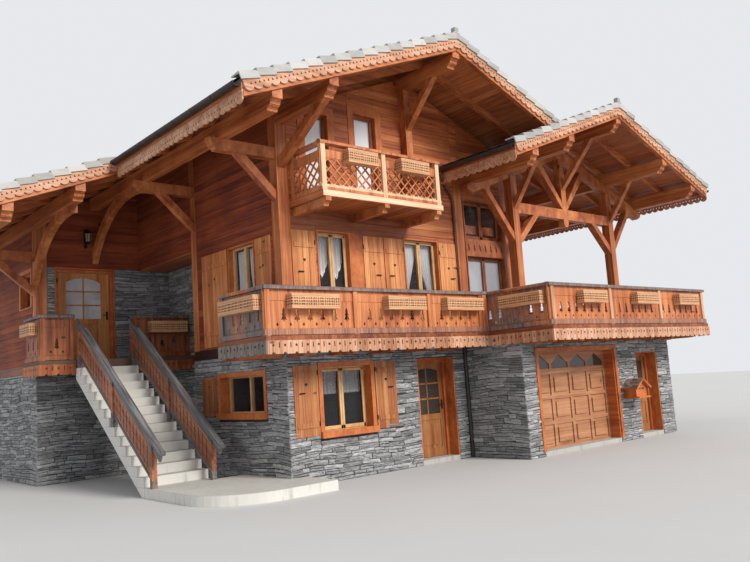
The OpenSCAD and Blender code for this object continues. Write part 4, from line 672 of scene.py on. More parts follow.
# A place holds where a piece stands, its turn, its kind, its tone and its size
def scatter(name, places, kinds, finish, wobble, seed):
    spots, turns, picks, tones, sizes = zip(*places)
    mesh = meshOf(name + "Places", [Vector(at) + corner for at in spots], [])
    for (key, kind), values in zip(pointValues, (turns, sizes, picks, tones)):
        layer = mesh.attributes.new(key, kind, "POINT")
        if kind == "FLOAT_VECTOR":
            layer.data.foreach_set("vector", [number for value in values for number in value])
        else:
            layer.data.foreach_set("value", values)
    carrier = bpy.data.objects.new(name + "Carrier", mesh)
    bpy.context.scene.collection.objects.link(carrier)
    shelf = bpy.data.collections.new(name + "Kinds")
    samples = [bpy.data.objects.new("%s%02d" % (name, i), kind) for i, kind in enumerate(kinds)]
    for sample in samples:
        shelf.objects.link(sample)
    modifier = carrier.modifiers.new("scatter", "NODES")
    modifier.node_group = scatterTree
    settings = {"Kinds": shelf, "Wobble": wobble, "Seed": seed, "Finish": paints[finish]}
    for item in scatterTree.interface.items_tree:
        if item.item_type == "SOCKET" and item.in_out == "INPUT" and item.name in settings:
            modifier[item.identifier] = settings[item.name]
    bpy.context.view_layer.update()
    graph = bpy.context.evaluated_depsgraph_get()
    made = bpy.data.meshes.new_from_object(carrier.evaluated_get(graph))
    made.name = name
    carrier.modifiers.remove(modifier)
    for used in (carrier, *samples):
        bpy.data.objects.remove(used)
    bpy.data.collections.remove(shelf)
    print(name, len(places), "places", len(made.polygons), "faces")
    addPiece(name, made, finish)


# A wall face runs from start to end; its stones or boards stand out along the turned +y axis
facingFront = math.pi
facingLeft = math.pi / 2
facingRight = -math.pi / 2
facingBack = 0.0
out = 0.018  # how far stones pass an outer corner
stoneTop = 2.48
porchLow = 2.69
porchTop = 4.895


def wallFace(start, end, turn, low=0, high=stoneTop, holes=(), ends=(0, 0), gable=False):
    along = Vector((*end, 0)) - Vector((*start, 0))
    return {"start": start, "along": along.normalized(), "length": along.length, "turn": turn, "low": low,
            "high": high, "holes": holes, "ends": ends, "gable": gable}


def freeStretches(face, low, high):
    left, right = -face["ends"][0], face["length"] + face["ends"][1]
    if face["gable"]:
        half = (mainRidge["z"] - rafterFoot - high) / mainRidge["fall"]
        left = max(left, mainRidge["x"] - half - face["start"][0])
        right = min(right, mainRidge["x"] + half - face["start"][0])
    stretches = [(left, right)]
    for u0, u1, z0, z1 in face["holes"]:
        if z0 < high - 0.001 and z1 > low + 0.001:
            cut = []
            for a, b in stretches:
                if u0 > a:
                    cut.append((a, min(b, u0)))
                if u1 < b:
                    cut.append((max(a, u1), b))
            stretches = [(a, b) for a, b in cut if b > a]
    return [(a, b) for a, b in stretches if b - a > 0.03]


def courseBands(face, low, high):  # stretches of a course, with the thinner ones over and under openings
    bands = [(left, right, low, high) for left, right in freeStretches(face, low, high)]
    for u0, u1, z0, z1 in face["holes"]:
        if low + 0.02 < z0 < high - 0.001:
            bands.append((u0, u1, low, z0))
        if low + 0.001 < z1 < high - 0.02:
            bands.append((u0, u1, z1, high))
    return bands


def clearance(face, u, z):  # from a place on the face to its nearest opening, foot or top
    nearest = min(z - face["low"], face["high"] - z)
    for u0, u1, z0, z1 in face["holes"]:
        nearest = min(nearest, math.hypot(max(u0 - u, u - u1, 0.0), max(z0 - z, z - z1, 0.0)))
    return nearest


def sway(u, phase):  # how a course waves along a wall, and its slope there
    rise = math.sin(1.7 * u + phase) + 0.5 * math.sin(4.3 * u - 2.0 * phase)
    lean = 1.7 * math.cos(1.7 * u + phase) + 2.15 * math.cos(4.3 * u - 2.0 * phase)
    return rise, lean


def layCourses(faces, look, rng):
    places = []
    joint = look["joint"]
    lowest = look["height"][0] * look["lastTall"]
    shortest = look["length"][0] * look["lastLong"]
    for face in faces:
        facing = math.cos(face["turn"]) * face["along"].x + math.sin(face["turn"]) * face["along"].y
        z = face["low"]
        while z < face["high"] - 0.02:
            h = rng.uniform(*look["height"])
            if z + h > face["high"] - lowest:
                h = face["high"] - z
            for left, right, foot, head in courseBands(face, z, z + h):
                u = left
                while u < right - 0.001:
                    w = rng.uniform(*look["length"])
                    if right - u - w < shortest:
                        w = right - u
                    shares = (1.0,)
                    large = head - foot > look["splitTall"] and w < look["splitLong"]
                    if look["split"] and large and rng.random() < look["split"]:
                        share = rng.uniform(*look["shares"])
                        shares = (share, 1 - share)
                    floor = foot
                    for share in shares:
                        tall = (head - foot) * share
                        middle, level = u + w / 2, floor + tall / 2
                        calm = look["sway"] * min(clearance(face, middle, level) / look["calm"], 1.0)
                        rise, lean = sway(middle, face["low"] + 0.6 * z)
                        at = Vector((*face["start"], 0)) + face["along"] * middle
                        at.z = level + calm * rise
                        turn = (0.0, -calm * lean * facing, face["turn"])
                        places.append((at, turn, rng.randrange(look["kinds"]), rng.random(),
                                       (w - joint, rng.uniform(*look["depth"]), tall - joint)))
                        floor += tall
                    u += w
            z += h
    return places


# One rough stone, with its back in the wall and a broken face outwards along y
def roughStone(seed):
    rng = random.Random(seed)
    xs = (-0.5, -0.17, 0.17, 0.5)
    zs = (-0.5, 0.0, 0.5)
    rim = [(0, 0), (1, 0), (2, 0), (3, 0), (3, 1), (3, 2), (2, 2), (1, 2), (0, 2), (0, 1)]
    work = bmesh.new()
    front = {}
    for i, x in enumerate(xs):
        for j, z in enumerate(zs):
            edge = (i, j) in rim
            pull = rng.uniform(0.90, 0.985) if edge else 1.0
            depth = rng.uniform(0.45, 0.85) if edge else rng.uniform(0.85, 1.05)
            slide = rng.uniform(-0.05, 0.05)
            front[i, j] = work.verts.new((x * (1 + pull) / 2 + slide * 0.5, depth, z * pull + slide * 0.3))
    back = {(i, j): work.verts.new((xs[i] * 1.01, -0.35, zs[j] * 1.01)) for i, j in rim}
    for i in range(3):
        for j in range(2):
            work.faces.new((front[i, j], front[i, j + 1], front[i + 1, j + 1], front[i + 1, j]))
    for a, b in zip(rim, rim[1:] + rim[:1]):
        work.faces.new((front[a], front[b], back[b], back[a]))
    work.faces.new([back[place] for place in rim])
    return meshFromWork("roughStone", work)


def chamferedBoard(inset):
    return ringMesh("board", [[(x * (0.5 - shrink * 0.02), y, z * (0.5 - shrink))
                               for x, z in ((-1, -1), (1, -1), (1, 1), (-1, 1))]
                              for y, shrink in ((-0.3, 0.0), (0.55, 0.0), (1.0, inset))])


stoneFaces = {
    "front_stones": [
        wallFace((0, 0), (4.79, 0), facingFront, ends=(out, 0), holes=(
            (0.673, 2.074, 0.773, 2.223), (3.268, 4.388, 0, 2.208), (0.123, 0.653, 0.990, 2.060),
            (2.094, 2.624, 0.990, 2.060))),
        wallFace((4.79, -1.59), (4.79, 0), facingLeft, ends=(out, 0)),
        wallFace((4.79, -1.59), (10.75, -1.59), facingFront, ends=(out, out), holes=(
            (0.50, 3.422, 0, 2.195), (4.366, 5.356, 0, 2.072)))],
    "left_stones": [
        wallFace((0, 0), (0, 3.5), facingLeft, ends=(out, out), holes=(
            (0.680, 2.520, 1.190, 2.160), (2.56, 3.16, 1.43, 1.97))),
        wallFace((0, 3.5), (0.8, 3.5), facingBack, ends=(out, 0)),
        wallFace((0.8, 3.5), (0.8, 6.3), facingLeft),
        wallFace((0.8, 3.5), (0.8, 6.3), facingLeft, porchLow, porchTop),
        wallFace((-2.45, 6.3), (0.8, 6.3), facingFront, ends=(out, 0)),
        wallFace((-2.2, 6.3), (-2.03, 6.3), facingFront, porchLow, porchTop),
        wallFace((-0.62, 6.3), (0.8, 6.3), facingFront, porchLow, porchTop),
        wallFace((-2.45, 6.3), (-2.45, 10.8), facingLeft, ends=(out, out))],
    "back_stones": [
        wallFace((10.75, -1.59), (10.75, 4.91), facingRight, ends=(out, out)),
        wallFace((6.72, 4.91), (10.75, 4.91), facingBack, ends=(0, out)),
        wallFace((6.72, 4.91), (6.72, 10.8), facingRight, ends=(0, out)),
        wallFace((-2.45, 10.8), (6.72, 10.8), facingBack, ends=(out, out))]}
stoneLook = {"height": (0.045, 0.115), "length": (0.15, 0.58), "depth": (0.012, 0.036), "joint": 0.009,
             "lastTall": 0.6, "lastLong": 0.7, "split": 0.5, "splitTall": 0.075, "splitLong": 0.42,
             "shares": (0.38, 0.62), "kinds": 9, "sway": 0.028, "calm": 0.35}
stoneKinds = [roughStone(40 + k) for k in range(stoneLook["kinds"])]
rng = random.Random(7)
for name, faces in stoneFaces.items():
    scatter(name, layCourses(faces, stoneLook, rng), stoneKinds, "stone", 0.034, 3)
print("stones laid")

boardFaces = {
    "wall_boards": [
        wallFace((0.25, 0), (4.825, 0), facingFront, 2.685, 8.3,
                 ((0.58, 1.735, 2.685, 4.785), (2.88, 3.92, 2.685, 4.785), (0.27, 1.17, 5.285, 7.315),
                  (1.55, 2.45, 5.285, 7.490)), gable=True),
        wallFace((5.075, 0), (6.47, 0), facingFront, 5.84, 8.3, gable=True),
        wallFace((4.825, 0), (5.075, 0), facingFront, 6.40, 8.3, gable=True),
        wallFace((6.72, 0.25), (6.72, 10.8), facingRight, 2.685, 6.92,
                 ((0.65, 2.45, 2.685, 4.785), (7.25, 8.37, 3.585, 4.845))),
        wallFace((-2.45, 10.8), (6.72, 10.8), facingBack, 2.685, 8.3,
                 ((7.39, 8.51, 3.585, 4.845), (5.288, 6.408, 3.585, 4.845), (2.196, 3.316, 3.585, 4.845),
                  (5.288, 6.408, 6.185, 7.245)), gable=True)],
    "side_boards": [
        wallFace((0, 0.25), (0, 3.25), facingLeft, 2.685, 7.05, ((0.65, 1.65, 2.685, 4.685),)),
        wallFace((0, 3.5), (0, 6.3), facingLeft, 4.9, 7.05),
        wallFace((-2.45, 6.55), (-2.45, 10.8), facingLeft, 2.685, 6.10, ((-0.03, 0.91, 3.985, 4.905),)),
        wallFace((-2.2, 6.3), (0, 6.3), facingFront, 4.9, 7.05, gable=True)]}
boardLook = {**stoneLook, "height": (0.145, 0.1451), "length": (2.2, 4.4), "depth": (0.010, 0.012),
             "joint": 0.003, "split": 0, "kinds": 2, "sway": 0.0}
boardKinds = [chamferedBoard(0.06), chamferedBoard(0.045)]
for name, finish in (("wall_boards", "boardWood"), ("side_boards", "shadyBoards")):
    scatter(name, layCourses(boardFaces[name], boardLook, rng), boardKinds, finish, 0.0, 5)
print("boards nailed on")


# Slates and shingles; near and far are distances from the ridge on x, at the top and at the eave
slateJoint = 0.006
slateLeast = 0.05  # no narrower one is laid
slateChoice = (0.8, 1.3)  # shares of the usual thickness


def slateKind():
    outline = ((-0.5, -0.42), (-0.42, -0.5), (0.5, -0.5), (0.5, 0.5), (-0.42, 0.5), (-0.5, 0.40))
    return ringMesh("slate", [[(x, y, z) for x, y in outline] for z in (0.0, 1.0)])


def laySlates(ridge, side, near, far, front, back, rng, look):
    places = []
    pitch = math.atan(ridge["fall"])
    rows = int((far - near) / math.cos(pitch) / look["gauge"]) + 1
    for row in range(rows):
        run = far - (row * look["gauge"] + look["length"] / 2 - look["over"]) * math.cos(pitch)
        if run < near + 0.02:
            continue
        y = front - (look["width"] / 2 if row % 2 else 0.0)
        while y < back - 0.02:
            low = max(y, front)
            high = min(y + look["width"], back)
            if high - low > slateLeast:
                x = ridge["x"] + side * run
                places.append((
                    (x, (low + high) / 2, roofHeight(ridge, x) + look["lift"]),
                    (0.0, look["tilt"] - pitch, 0.0 if side < 0 else math.pi), 0, rng.random(),
                    (look["length"], high - low - slateJoint, look["thick"] * rng.uniform(*slateChoice))))
            y += look["width"]
    return places


slateLook = {"width": 0.30, "length": 0.42, "gauge": 0.25, "thick": 0.010, "lift": 0.016, "tilt": 0.030,
             "over": 0.04}
slateRuns = ((mainRidge, -1, 0.08, 5.136, -1.764, 3.2), (mainRidge, -1, 0.08, 7.66, 3.2, 11.7),
             (mainRidge, 1, 0.08, 3.36, -1.764, 5.6), (mainRidge, 1, 0.08, 5.136, 5.6, 11.7),
             (terraceRidge, -1, 0.08, 4.178, -2.21, -1.764), (terraceRidge, -1, 0.08, 1.857, -1.764, 5.6),
             (terraceRidge, -1, 2.35, 4.178, -1.764, -0.03), (terraceRidge, 1, 0.08, 4.178, -2.21, 5.6))
slates = [place for run in slateRuns for place in laySlates(*run, rng, slateLook)]
scatter("roof_slates", slates, [slateKind()], "slate", 0.004, 11)

capLook = {"pitch": 0.34, "length": 0.37, "lift": 0.012, "step": 0.046}


def capTile(lowEnd):  # lowEnd is -1 or 1: the end of x that lies lower and stands over the next tile
    profile = ((-0.055, -0.075), (-0.035, -0.075), (-0.030, 0.020), (0.20, 0.020), (0.20, 0.040),
               (-0.035, 0.055), (-0.055, 0.035))
    step = capLook["step"]
    ends = ((-lowEnd * 0.5, 0.0, 1.0), (lowEnd * 0.47, step, 1.03), (lowEnd * 0.5, step - 0.004, 0.98))
    return ringMesh("cap", [[(x * capLook["length"], y * swell, z * swell + raised) for y, z in profile]
                            for x, raised, swell in ends])


def layCaps(ridge, side, near, far, y, back, rng):  # back is True at the rear verges
    pitch = math.atan(ridge["fall"])
    count = round((far - near) / math.cos(pitch) / capLook["pitch"])
    step = (far - near) / count
    places = []
    for i in range(count):
        x = ridge["x"] + side * (far - (i + 0.5) * step)
        turn = (0.0, -side * pitch, math.pi) if back else (0.0, side * pitch, 0.0)
        places.append(((x, y, roofHeight(ridge, x) + capLook["lift"]), turn, int((side > 0) != back),
                       rng.random(), (1.0, 1.0, 1.0)))
    return places


capRuns = ((mainRidge, -1, 0.0, 5.156, -1.764, False), (mainRidge, 1, 0.0, 3.36, -1.764, False),
           (terraceRidge, -1, 0.0, 4.198, -2.21, False), (terraceRidge, 1, 0.0, 4.198, -2.21, False),
           (mainRidge, -1, 5.15, 7.68, 3.2, False), (mainRidge, -1, 0.0, 7.68, 11.7, True),
           (mainRidge, 1, 0.0, 5.156, 11.7, True), (terraceRidge, 1, 0.0, 4.198, 5.6, True))
caps = [place for run in capRuns for place in layCaps(*run, rng)]
scatter("verge_caps", caps, [capTile(-1), capTile(1)], "capSlate", 0.006, 13)


def ridgeTile():
    arc = [math.pi * (0.06 + 0.88 * k / 8) for k in range(9)]
    rings = []
    for y, outer, inner in ((-0.5, 0.128, 0.112), (0.46, 0.138, 0.122), (0.5, 0.142, 0.118)):
        section = [(outer, a) for a in arc] + [(inner, a) for a in reversed(arc)]
        rings.append([(radius * math.cos(a), y, radius * math.sin(a) - 0.05) for radius, a in section])
    return ringMesh("ridgeTile", rings)


ridgeLook = {"pitch": 0.40, "lap": 1.06, "lift": 0.02}


def layRidge(ridge, front, back, rng, look):
    count = round((back - front) / look["pitch"])
    step = (back - front) / count
    return [((ridge["x"], front + (i + 0.5) * step, ridge["z"] + look["lift"]), (0.0, 0.0, 0.0), 0,
             rng.random(), (1.0, step * look["lap"], 1.0)) for i in range(count)]


tops = layRidge(mainRidge, -1.80, 11.74, rng, ridgeLook)
tops += layRidge(terraceRidge, -2.25, 5.60, rng, ridgeLook)
scatter("ridge_tiles", tops, [ridgeTile()], "capSlate", 0.004, 17)

shingleLook = {"width": 0.11, "length": 0.085, "gauge": 0.058, "thick": 0.006, "lift": 0.007, "tilt": 0.05,
               "over": 0.010}
shingles = [place for side in (-1, 1)
            for place in laySlates(boxRidge, side, 0.010, 0.315, -2.036, -1.592, rng, shingleLook)]
scatter("box_shingles", shingles, [slateKind()], "shingleWood", 0.010, 19)
print("roofs covered")

# Glazing bars on the doors' glass
barLook = {"width": 0.036, "proud": 0.012, "chamfer": 0.005}


def doorBars(door, columns, rows, finish, look):
    low, high = [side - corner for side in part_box(door + "_glass")]
    work = bmesh.new()
    front = low.y - look["proud"]
    back = high.y + look["proud"]
    half = look["width"] / 2
    for k in range(1, columns):
        x = low.x + (high.x - low.x) * k / columns
        addBlock(work, (x - half, front, low.z), (x + half, back, high.z), look["chamfer"])
    for k in range(1, rows):
        z = low.z + (high.z - low.z) * k / rows
        addBlock(work, (low.x, front, z - half), (high.x, back, z + half), look["chamfer"])
    addWork(door + "_bars", work, finish, door + "_leaf")


doorBars("front_door", 2, 3, "doorPaint", barLook)
doorBars("side_door", 2, 2, "doorPaint", barLook)
doorBars("entry_door", 2, 3, "entryPaint", barLook)
print("glazing bars set")

# Panes in the top row of the garage door
paneLook = {"x": 5.405, "z": 1.820, "pitch": 0.6955, "width": 0.6055, "side": 0.100, "peak": 0.288,
            "faces": (-1.322, -1.308), "columns": 4}


def garagePanes(look):
    work = bmesh.new()
    wide, side = look["width"], look["side"]
    outline = ((0, 0), (wide, 0), (wide, side), (wide / 2, look["peak"]), (0, side))
    for column in range(look["columns"]):
        x = look["x"] + column * look["pitch"]
        addRings(work, [[spot(x + u, y, look["z"] + v) for u, v in outline] for y in look["faces"]])
    addWork("garage_panes", work, "doorGlass")


garagePanes(paneLook)

# Latches and hinge knuckles of the shutters: the left edge's x, width, lowest and highest z, 1 on the right
shutterPlaces = ((0.113, 0.55, 0.873, 2.183, 0), (2.084, 0.55, 0.873, 2.183, 1),
                 (0.24, 0.54, 2.725, 4.745, 0), (1.99, 0.54, 2.725, 4.745, 1),
                 (2.56, 0.54, 2.725, 4.745, 0), (4.19, 0.54, 2.725, 4.745, 1))
latchLook = {"long": 0.13, "high": 0.022, "proud": 0.010, "chamfer": 0.003, "across": 0.32, "up": 0.60,
             "knob": 0.011, "knobOff": 0.36, "knobLong": 0.030, "hinge": 0.012, "hingeHalf": 0.045,
             "hingeLevels": (0.17, 0.89), "inset": 0.004, "face": -0.044, "behind": 0.011}


def shutterIrons(places, look):
    work = bmesh.new()
    y, half = look["face"], look["long"] / 2
    for x, width, low, high, right in places:
        tall, hand = high - low, 1 if right else -1
        middle = x + width * (0.5 + hand * (0.5 - look["across"]))
        z = low + tall * look["up"]
        addBlock(work, (middle - half, y - look["proud"], z), (middle + half, y, z + look["high"]),
                 look["chamfer"])
        end, level = middle + look["long"] * look["knobOff"] * hand, z + look["high"] / 2
        addTube(work, [(end, y, level), (end, y - look["knobLong"], level)], look["knob"], 8)
        side = x + look["inset"] if right else x + width - look["inset"]
        for share in look["hingeLevels"]:
            ends = [(side, y + look["behind"], low + tall * share + reach)
                    for reach in (-look["hingeHalf"], look["hingeHalf"])]
            addTube(work, ends, look["hinge"], 8)
    addWork("shutter_irons", work, "iron")


shutterIrons(shutterPlaces, latchLook)

# Near-black plates behind the hearts of the shutters, in front of the wall boards: painted shade seen
# through the heart holes
heartLook = {"level": 0.7, "half": 0.05, "foot": -0.01, "tall": 0.09, "front": -0.020, "back": -0.0135}
leftShutters = ((2.55, 0.62, 1.310, 2.100), (1.94, 1.06, 2.725, 4.685), (0.31, 0.55, 2.725, 4.685))


def heartShadePlates(look):
    work = bmesh.new()
    for along, places in ((0, shutterPlaces), (1, leftShutters)):
        for start, width, low, high, *_ in places:
            middle, z = start + width / 2, low + (high - low) * look["level"]
            near = [middle - look["half"], look["front"]]
            far = [middle + look["half"], look["back"]]
            if along:
                near.reverse()
                far.reverse()
            addBlock(work, (*near, z + look["foot"]), (*far, z + look["tall"]), 0.0)
    addWork("heart_backs", work, "shutterBack")


heartShadePlates(heartLook)

# Wrought lantern beside the entrance; each cone has its height, lower and upper radius, and length
lanternLook = {"wall": (-1.31, 6.286, 5.50), "reach": 0.17, "low": 0.060, "high": 0.082, "tall": 0.20,
               "bar": 0.007, "arm": 0.010, "armRise": 0.16, "rod": 0.006,
               "scroll": 0.062, "scrollOut": 0.075,
               "cones": ((0.20, 0.105, 0.020, 0.075), (0.27, 0.016, 0.004, 0.060),
                         (-0.022, 0.036, 0.070, 0.026), (-0.060, 0.004, 0.018, 0.042))}


def wallLantern(look):
    back = Vector(look["wall"])
    middle = back - Vector((0, look["reach"], 0))
    top = middle + Vector((0, 0, look["tall"]))
    work = bmesh.new()
    addCone(work, middle, look["low"], look["high"], look["tall"], 6)
    addWork("lantern_glass", work, "lampGlass")
    work = bmesh.new()
    for height, low, high, tall in look["cones"]:
        addCone(work, middle + Vector((0, 0, height)), low, high, tall, 6)
    for k in range(6):
        away = Vector((math.cos(math.pi * k / 3), math.sin(math.pi * k / 3), 0))
        addTube(work, [middle + away * look["low"], top + away * look["high"]], look["bar"], 5)
    addBlock(work, back + Vector((-0.035, -0.010, -0.12)), back + Vector((0.035, 0.004, 0.34)), 0.004)
    arm = []
    for k in range(12):
        turn = math.pi * k / 12
        out = look["reach"] * 0.5 * (1 - math.cos(turn))
        arm.append(back + Vector((0, -out, look["armRise"] * (1 + math.sin(turn)))))
    addTube(work, [*arm, top + Vector((0, 0, 0.10))], look["arm"], 6)
    scroll = []
    for k in range(22):
        turn = 2.6 * math.pi * k / 21
        size = look["scroll"] * (1 - 0.75 * k / 21)
        out = look["scrollOut"] + size * math.cos(turn)
        scroll.append(back + Vector((0, -out, 0.045 + size * math.sin(turn))))
    addTube(work, scroll, look["rod"], 5)
    foot = [back + Vector((0, 0, -0.02)), back + Vector((0, -look["scrollOut"], -0.017))]
    addTube(work, foot, look["rod"], 5)
    addWork("lantern_iron", work, "iron")


wallLantern(lanternLook)

# Gutter hooks, the collars of the downspout, and the pipe from the terrace gutter down to the balcony
gutterRuns = ((-1.851, 6.607, -1.70, 3.10), (-4.375, 5.623, 3.30, 11.60), (4.324, 6.428, -2.12, -0.06),
              (12.830, 6.428, -2.12, 5.50), (8.571, 6.607, 5.70, 11.60))
gutterLook = {"radius": 0.0775, "rod": 0.005, "pitch": 0.65, "pipe": 0.036, "tall": 0.034,
              "lower": (0.052, 0.35, 1.30, 2.25), "upper": (0.043, 3.1, 4.2, 5.3),
              "bend": ((4.745, -0.050, 2.69), (4.745, -0.050, 5.62), (4.738, -0.052, 5.74),
                       (4.700, -0.060, 5.86), (4.420, -0.110, 6.16), (4.345, -0.128, 6.25),
                       (4.324, -0.130, 6.36))}


def addCollars(work, look, radius, *levels):
    for z in levels:
        addCone(work, (4.745, -0.047, z - look["tall"] / 2), radius, radius, look["tall"], 16)


def gutterIrons(runs, look):
    work = bmesh.new()
    halfTurn = [math.pi * k / 8 for k in range(9)]
    for x, z, near, far in runs:
        count = max(round((far - near) / look["pitch"]), 2)
        for i in range(count + 1):
            y = near + (far - near) * i / count
            hook = [(x + look["radius"] * math.cos(angle), y, z - look["radius"] * math.sin(angle))
                    for angle in halfTurn]
            addTube(work, hook, look["rod"], 5)
    addCollars(work, look, *look["lower"])
    addWork("gutter_irons", work, "gutterMetal")
    work = bmesh.new()
    addTube(work, look["bend"], look["pipe"], 12)
    addCollars(work, look, *look["upper"])
    addWork("upper_downpipe", work, "pipeMetal")


gutterIrons(gutterRuns, gutterLook)

# Blocks: x0, x1, z0, z1 on the wall at y, how far they stand out from it and how deep they go in
blockPieces = {
    "ridge_stubs": ("capSlate", "slate", 0.010, [
        (ridge["x"] - 0.060, ridge["x"] + 0.060, ridge["z"] - 0.02, ridge["z"] + 0.185, y, 0.012, 0.10)
        for ridge, y in ((mainRidge, -1.80), (terraceRidge, -2.25))]),
    "wall_casings": ("caseTimber", "joinery", 0.004, [
        (1.662, 1.985, 2.687, 4.783, 0.0, 0.026, 0.004), (5.200, 5.292, 0.10, 2.27, -1.59, 0.036, 0.004),
        (8.210, 8.300, 0.10, 2.27, -1.59, 0.036, 0.004),
        (5.292, 8.210, 2.197, 2.27, -1.59, 0.036, 0.004)]),
    # The post and the end of the handrail that close the corner of the two balustrades
    "corner_rail": ("frontRail", "rail_wood", 0.004, [
        (4.594, 4.736, 2.687, 3.500, -0.704, 0.106, 0.004),
        (4.592, 4.738, 3.500, 3.562, -0.686, 0.142, 0.004)]),
    # Boards under the timber wall that stands out over the recess
    "recess_soffit": ("undersideWood", "wall_wood", 0.004, [
        (0.004, 0.755, 4.868, 4.898, 6.258, 2.752, 0.004)]),
    "upper_fascia": ("creamTimber", "pale_wood", 0.004, [
        (0.267, 3.347, 5.175, 5.285, -1.047, 0.014, 0.004)])}
for name, (finish, slotName, chamfer, blocks) in blockPieces.items():
    work = bmesh.new()
    for x0, x1, z0, z1, y, proud, deep in blocks:
        addBlock(work, (x0, y - proud, z0), (x1, y + deep, z1), chamfer)
    addWork(name, work, finish)

# Sashes: x0, x1, z0, z1 of a frame's opening, the number of lights, the y of its outer face, and an inset
frontSashes = ((0.673, 2.074, 0.818, 2.223, 2, 0.200, 0.07), (0.83, 1.66, 2.685, 4.785, 2, 0.090, 0.0),
               (3.13, 4.17, 2.685, 4.785, 2, 0.090, 0.0), (0.65, 1.29, 5.285, 7.185, 1, 0.090, 0.0),
               (1.93, 2.57, 5.285, 7.360, 1, 0.090, 0.0), (5.095, 6.445, 2.685, 4.535, 2, 0.090, 0.0),
               (5.095, 6.445, 4.885, 5.835, 2, 0.090, 0.0))
sashLook = {"edge": 0.055, "stile": 0.050, "gap": 0.003, "proud": 0.016, "deep": 0.012, "chamfer": 0.005}


def windowSashes(places, look):
    work = bmesh.new()
    stile = look["stile"]
    for x0, x1, z0, z1, lights, y, inset in places:
        edge = inset + look["edge"]
        foot, head = z0 + edge, z1 - edge
        wide = (x1 - x0 - 2 * edge) / lights
        for light in range(lights):
            left = x0 + edge + wide * light + look["gap"]
            right = x0 + edge + wide * (light + 1) - look["gap"]
            for a, b, c, d in ((left, left + stile, foot, head), (right - stile, right, foot, head),
                               (left, right, foot, foot + stile * 1.4), (left, right, head - stile, head)):
                addBlock(work, (a, y - look["proud"], c), (b, y + look["deep"], d), look["chamfer"])
    addWork("window_sashes", work, "sashTimber")


windowSashes(frontSashes, sashLook)
print("garage panes, shutter irons, lantern, gutter irons, casings and sashes made")

# Curtains behind the glass
curtainLook = {"ripple": 0.022, "hem": 0.012, "tie": 0.72, "across": 40, "down": 22}


def curtainGrid(name, outer, inner, top, bottom, depth, axis, folds, finish, pull, point=0.0):
    # outer and inner are the panel's edges at the rail; pull is how far the inner edge is drawn out below
    # Point is how much lower the middle of the hem hangs than its ends
    across, down = curtainLook["across"], curtainLook["down"]
    vertices = []
    for j in range(down + 1):
        t = j / down
        z = top + (bottom - top) * t
        drawn = pull * math.sin(min(t / curtainLook["tie"], 1.0) * math.pi / 2) ** 2
        edge = inner + (outer - inner) * drawn
        ripple = curtainLook["ripple"] * (0.7 + 1.2 * drawn) * (0.35 + 0.65 * min(t * 4, 1.0))
        for i in range(across + 1):
            s = i / across
            along = outer + (edge - outer) * s
            wave = ripple * math.sin(2 * math.pi * folds * s + 0.6 * math.sin(3 * t))
            hem = curtainLook["hem"] * math.sin(4 * math.pi * folds * s) * (j == down)
            place = (along, depth + wave) if axis == "x" else (depth + wave, along)
            vertices.append(spot(*place, z + hem + point * t * abs(2 * s - 1)))
    row = across + 1
    mesh = meshOf(name, vertices, [(j * row + i, j * row + i + 1, (j + 1) * row + i + 1, (j + 1) * row + i)
                                   for j in range(down) for i in range(across)])
    trim = mesh.attributes.new("tone", "FLOAT", "POINT")
    trim.data.foreach_set("value", [j / down for j in range(down + 1) for i in range(row)])
    piece = addPiece(name, mesh, finish, smooth=True)


curtainGrid("balcony_curtain_1", 0.90, 1.24, 4.70, 3.86, 0.190, "x", 4, "curtainCloth", 0.02, 0.34)
curtainGrid("balcony_curtain_2", 1.59, 1.25, 4.70, 3.86, 0.190, "x", 4, "curtainCloth", 0.02, 0.34)
curtainGrid("balcony_curtain_3", 3.20, 3.645, 4.70, 2.80, 0.190, "x", 5, "curtainCloth", 0.72)
curtainGrid("balcony_curtain_4", 4.10, 3.655, 4.70, 2.80, 0.190, "x", 5, "curtainCloth", 0.72)
curtainGrid("ground_curtain_1", 0.81, 1.365, 2.09, 1.62, 0.300, "x", 6, "laceCloth", 0.04)
curtainGrid("ground_curtain_2", 1.94, 1.385, 2.09, 1.62, 0.300, "x", 6, "laceCloth", 0.04)
curtainGrid("side_curtain_1", 0.97, 1.39, 4.60, 2.80, 0.190, "y", 5, "curtainCloth", 0.30)
curtainGrid("side_curtain_2", 1.83, 1.41, 4.60, 2.80, 0.190, "y", 5, "curtainCloth", 0.30)
print("curtains hung")

# The camera stands where the photograph was taken
cameraLook = {"place": (-11.177, -16.947, 1.874), "yaw": 41.145, "pitch": 7.267, "roll": -3.857,
              "focal": 36.26, "sensor": 36.0, "reach": 200.0}


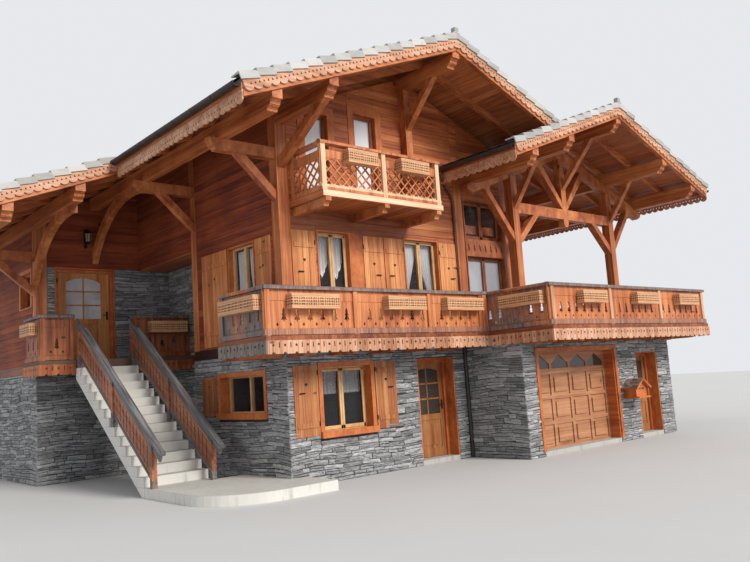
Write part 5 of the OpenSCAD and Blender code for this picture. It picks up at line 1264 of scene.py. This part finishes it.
def addCamera(look):
    yaw, pitch, roll = (math.radians(look[key]) for key in ("yaw", "pitch", "roll"))
    forward = Vector((math.sin(yaw) * math.cos(pitch), math.cos(yaw) * math.cos(pitch), math.sin(pitch)))
    right = Vector((math.cos(yaw), -math.sin(yaw), 0))
    up = right.cross(forward)
    side = math.cos(roll) * right + math.sin(roll) * up
    top = math.cos(roll) * up - math.sin(roll) * right
    data = bpy.data.cameras.new("camera")
    data.lens = look["focal"]
    data.sensor_width = look["sensor"]
    data.clip_end = look["reach"]
    camera = bpy.data.objects.new("camera", data)
    turn = Matrix((side, top, -forward)).transposed().to_4x4()
    camera.matrix_world = Matrix.Translation(look["place"]) @ turn
    bpy.context.scene.collection.objects.link(camera)
    bpy.context.scene.camera = camera


addCamera(cameraLook)

floorHalf = 70.0
floorEdge = [(x * floorHalf, y * floorHalf, 0) for x, y in ((-1, -1), (1, -1), (1, 1), (-1, 1))]
floorMesh = meshOf("floor", floorEdge, [(0, 1, 2, 3)])
floor = bpy.data.objects.new("floor", floorMesh)
bpy.context.scene.collection.objects.link(floor)
floorShader, floorPlace = newMaterial("floorPaint")
plug(floorShader, floorPlace.noise(0.4, 3.0).blend((0.46, 0.46, 0.46), (0.50, 0.50, 0.50)), 0.9)
floorMesh.materials.append(paints["floorPaint"])

lightLook = {"sun": 3.4, "softness": 20.0, "height": 57.0, "turn": 10.0, "sky": 0.84}
sun = bpy.data.lights.new("sun", "SUN")
sun.energy = lightLook["sun"]
sun.angle = math.radians(lightLook["softness"])
sun.color = (1.0, 0.96, 0.90)
sunLamp = bpy.data.objects.new("sun", sun)
sunLamp.rotation_euler = (math.radians(lightLook["height"]), 0, math.radians(lightLook["turn"]))
bpy.context.scene.collection.objects.link(sunLamp)
world = bpy.data.worlds.new("sky")
bpy.context.scene.world = world
bpy.context.scene.view_settings.view_transform = "Standard"
world.use_nodes = True
sky = world.node_tree.nodes["Background"].inputs
sky[0].default_value = (0.95, 0.97, 1.0, 1.0)
sky[1].default_value = lightLook["sky"]
print("camera, floor and light set")
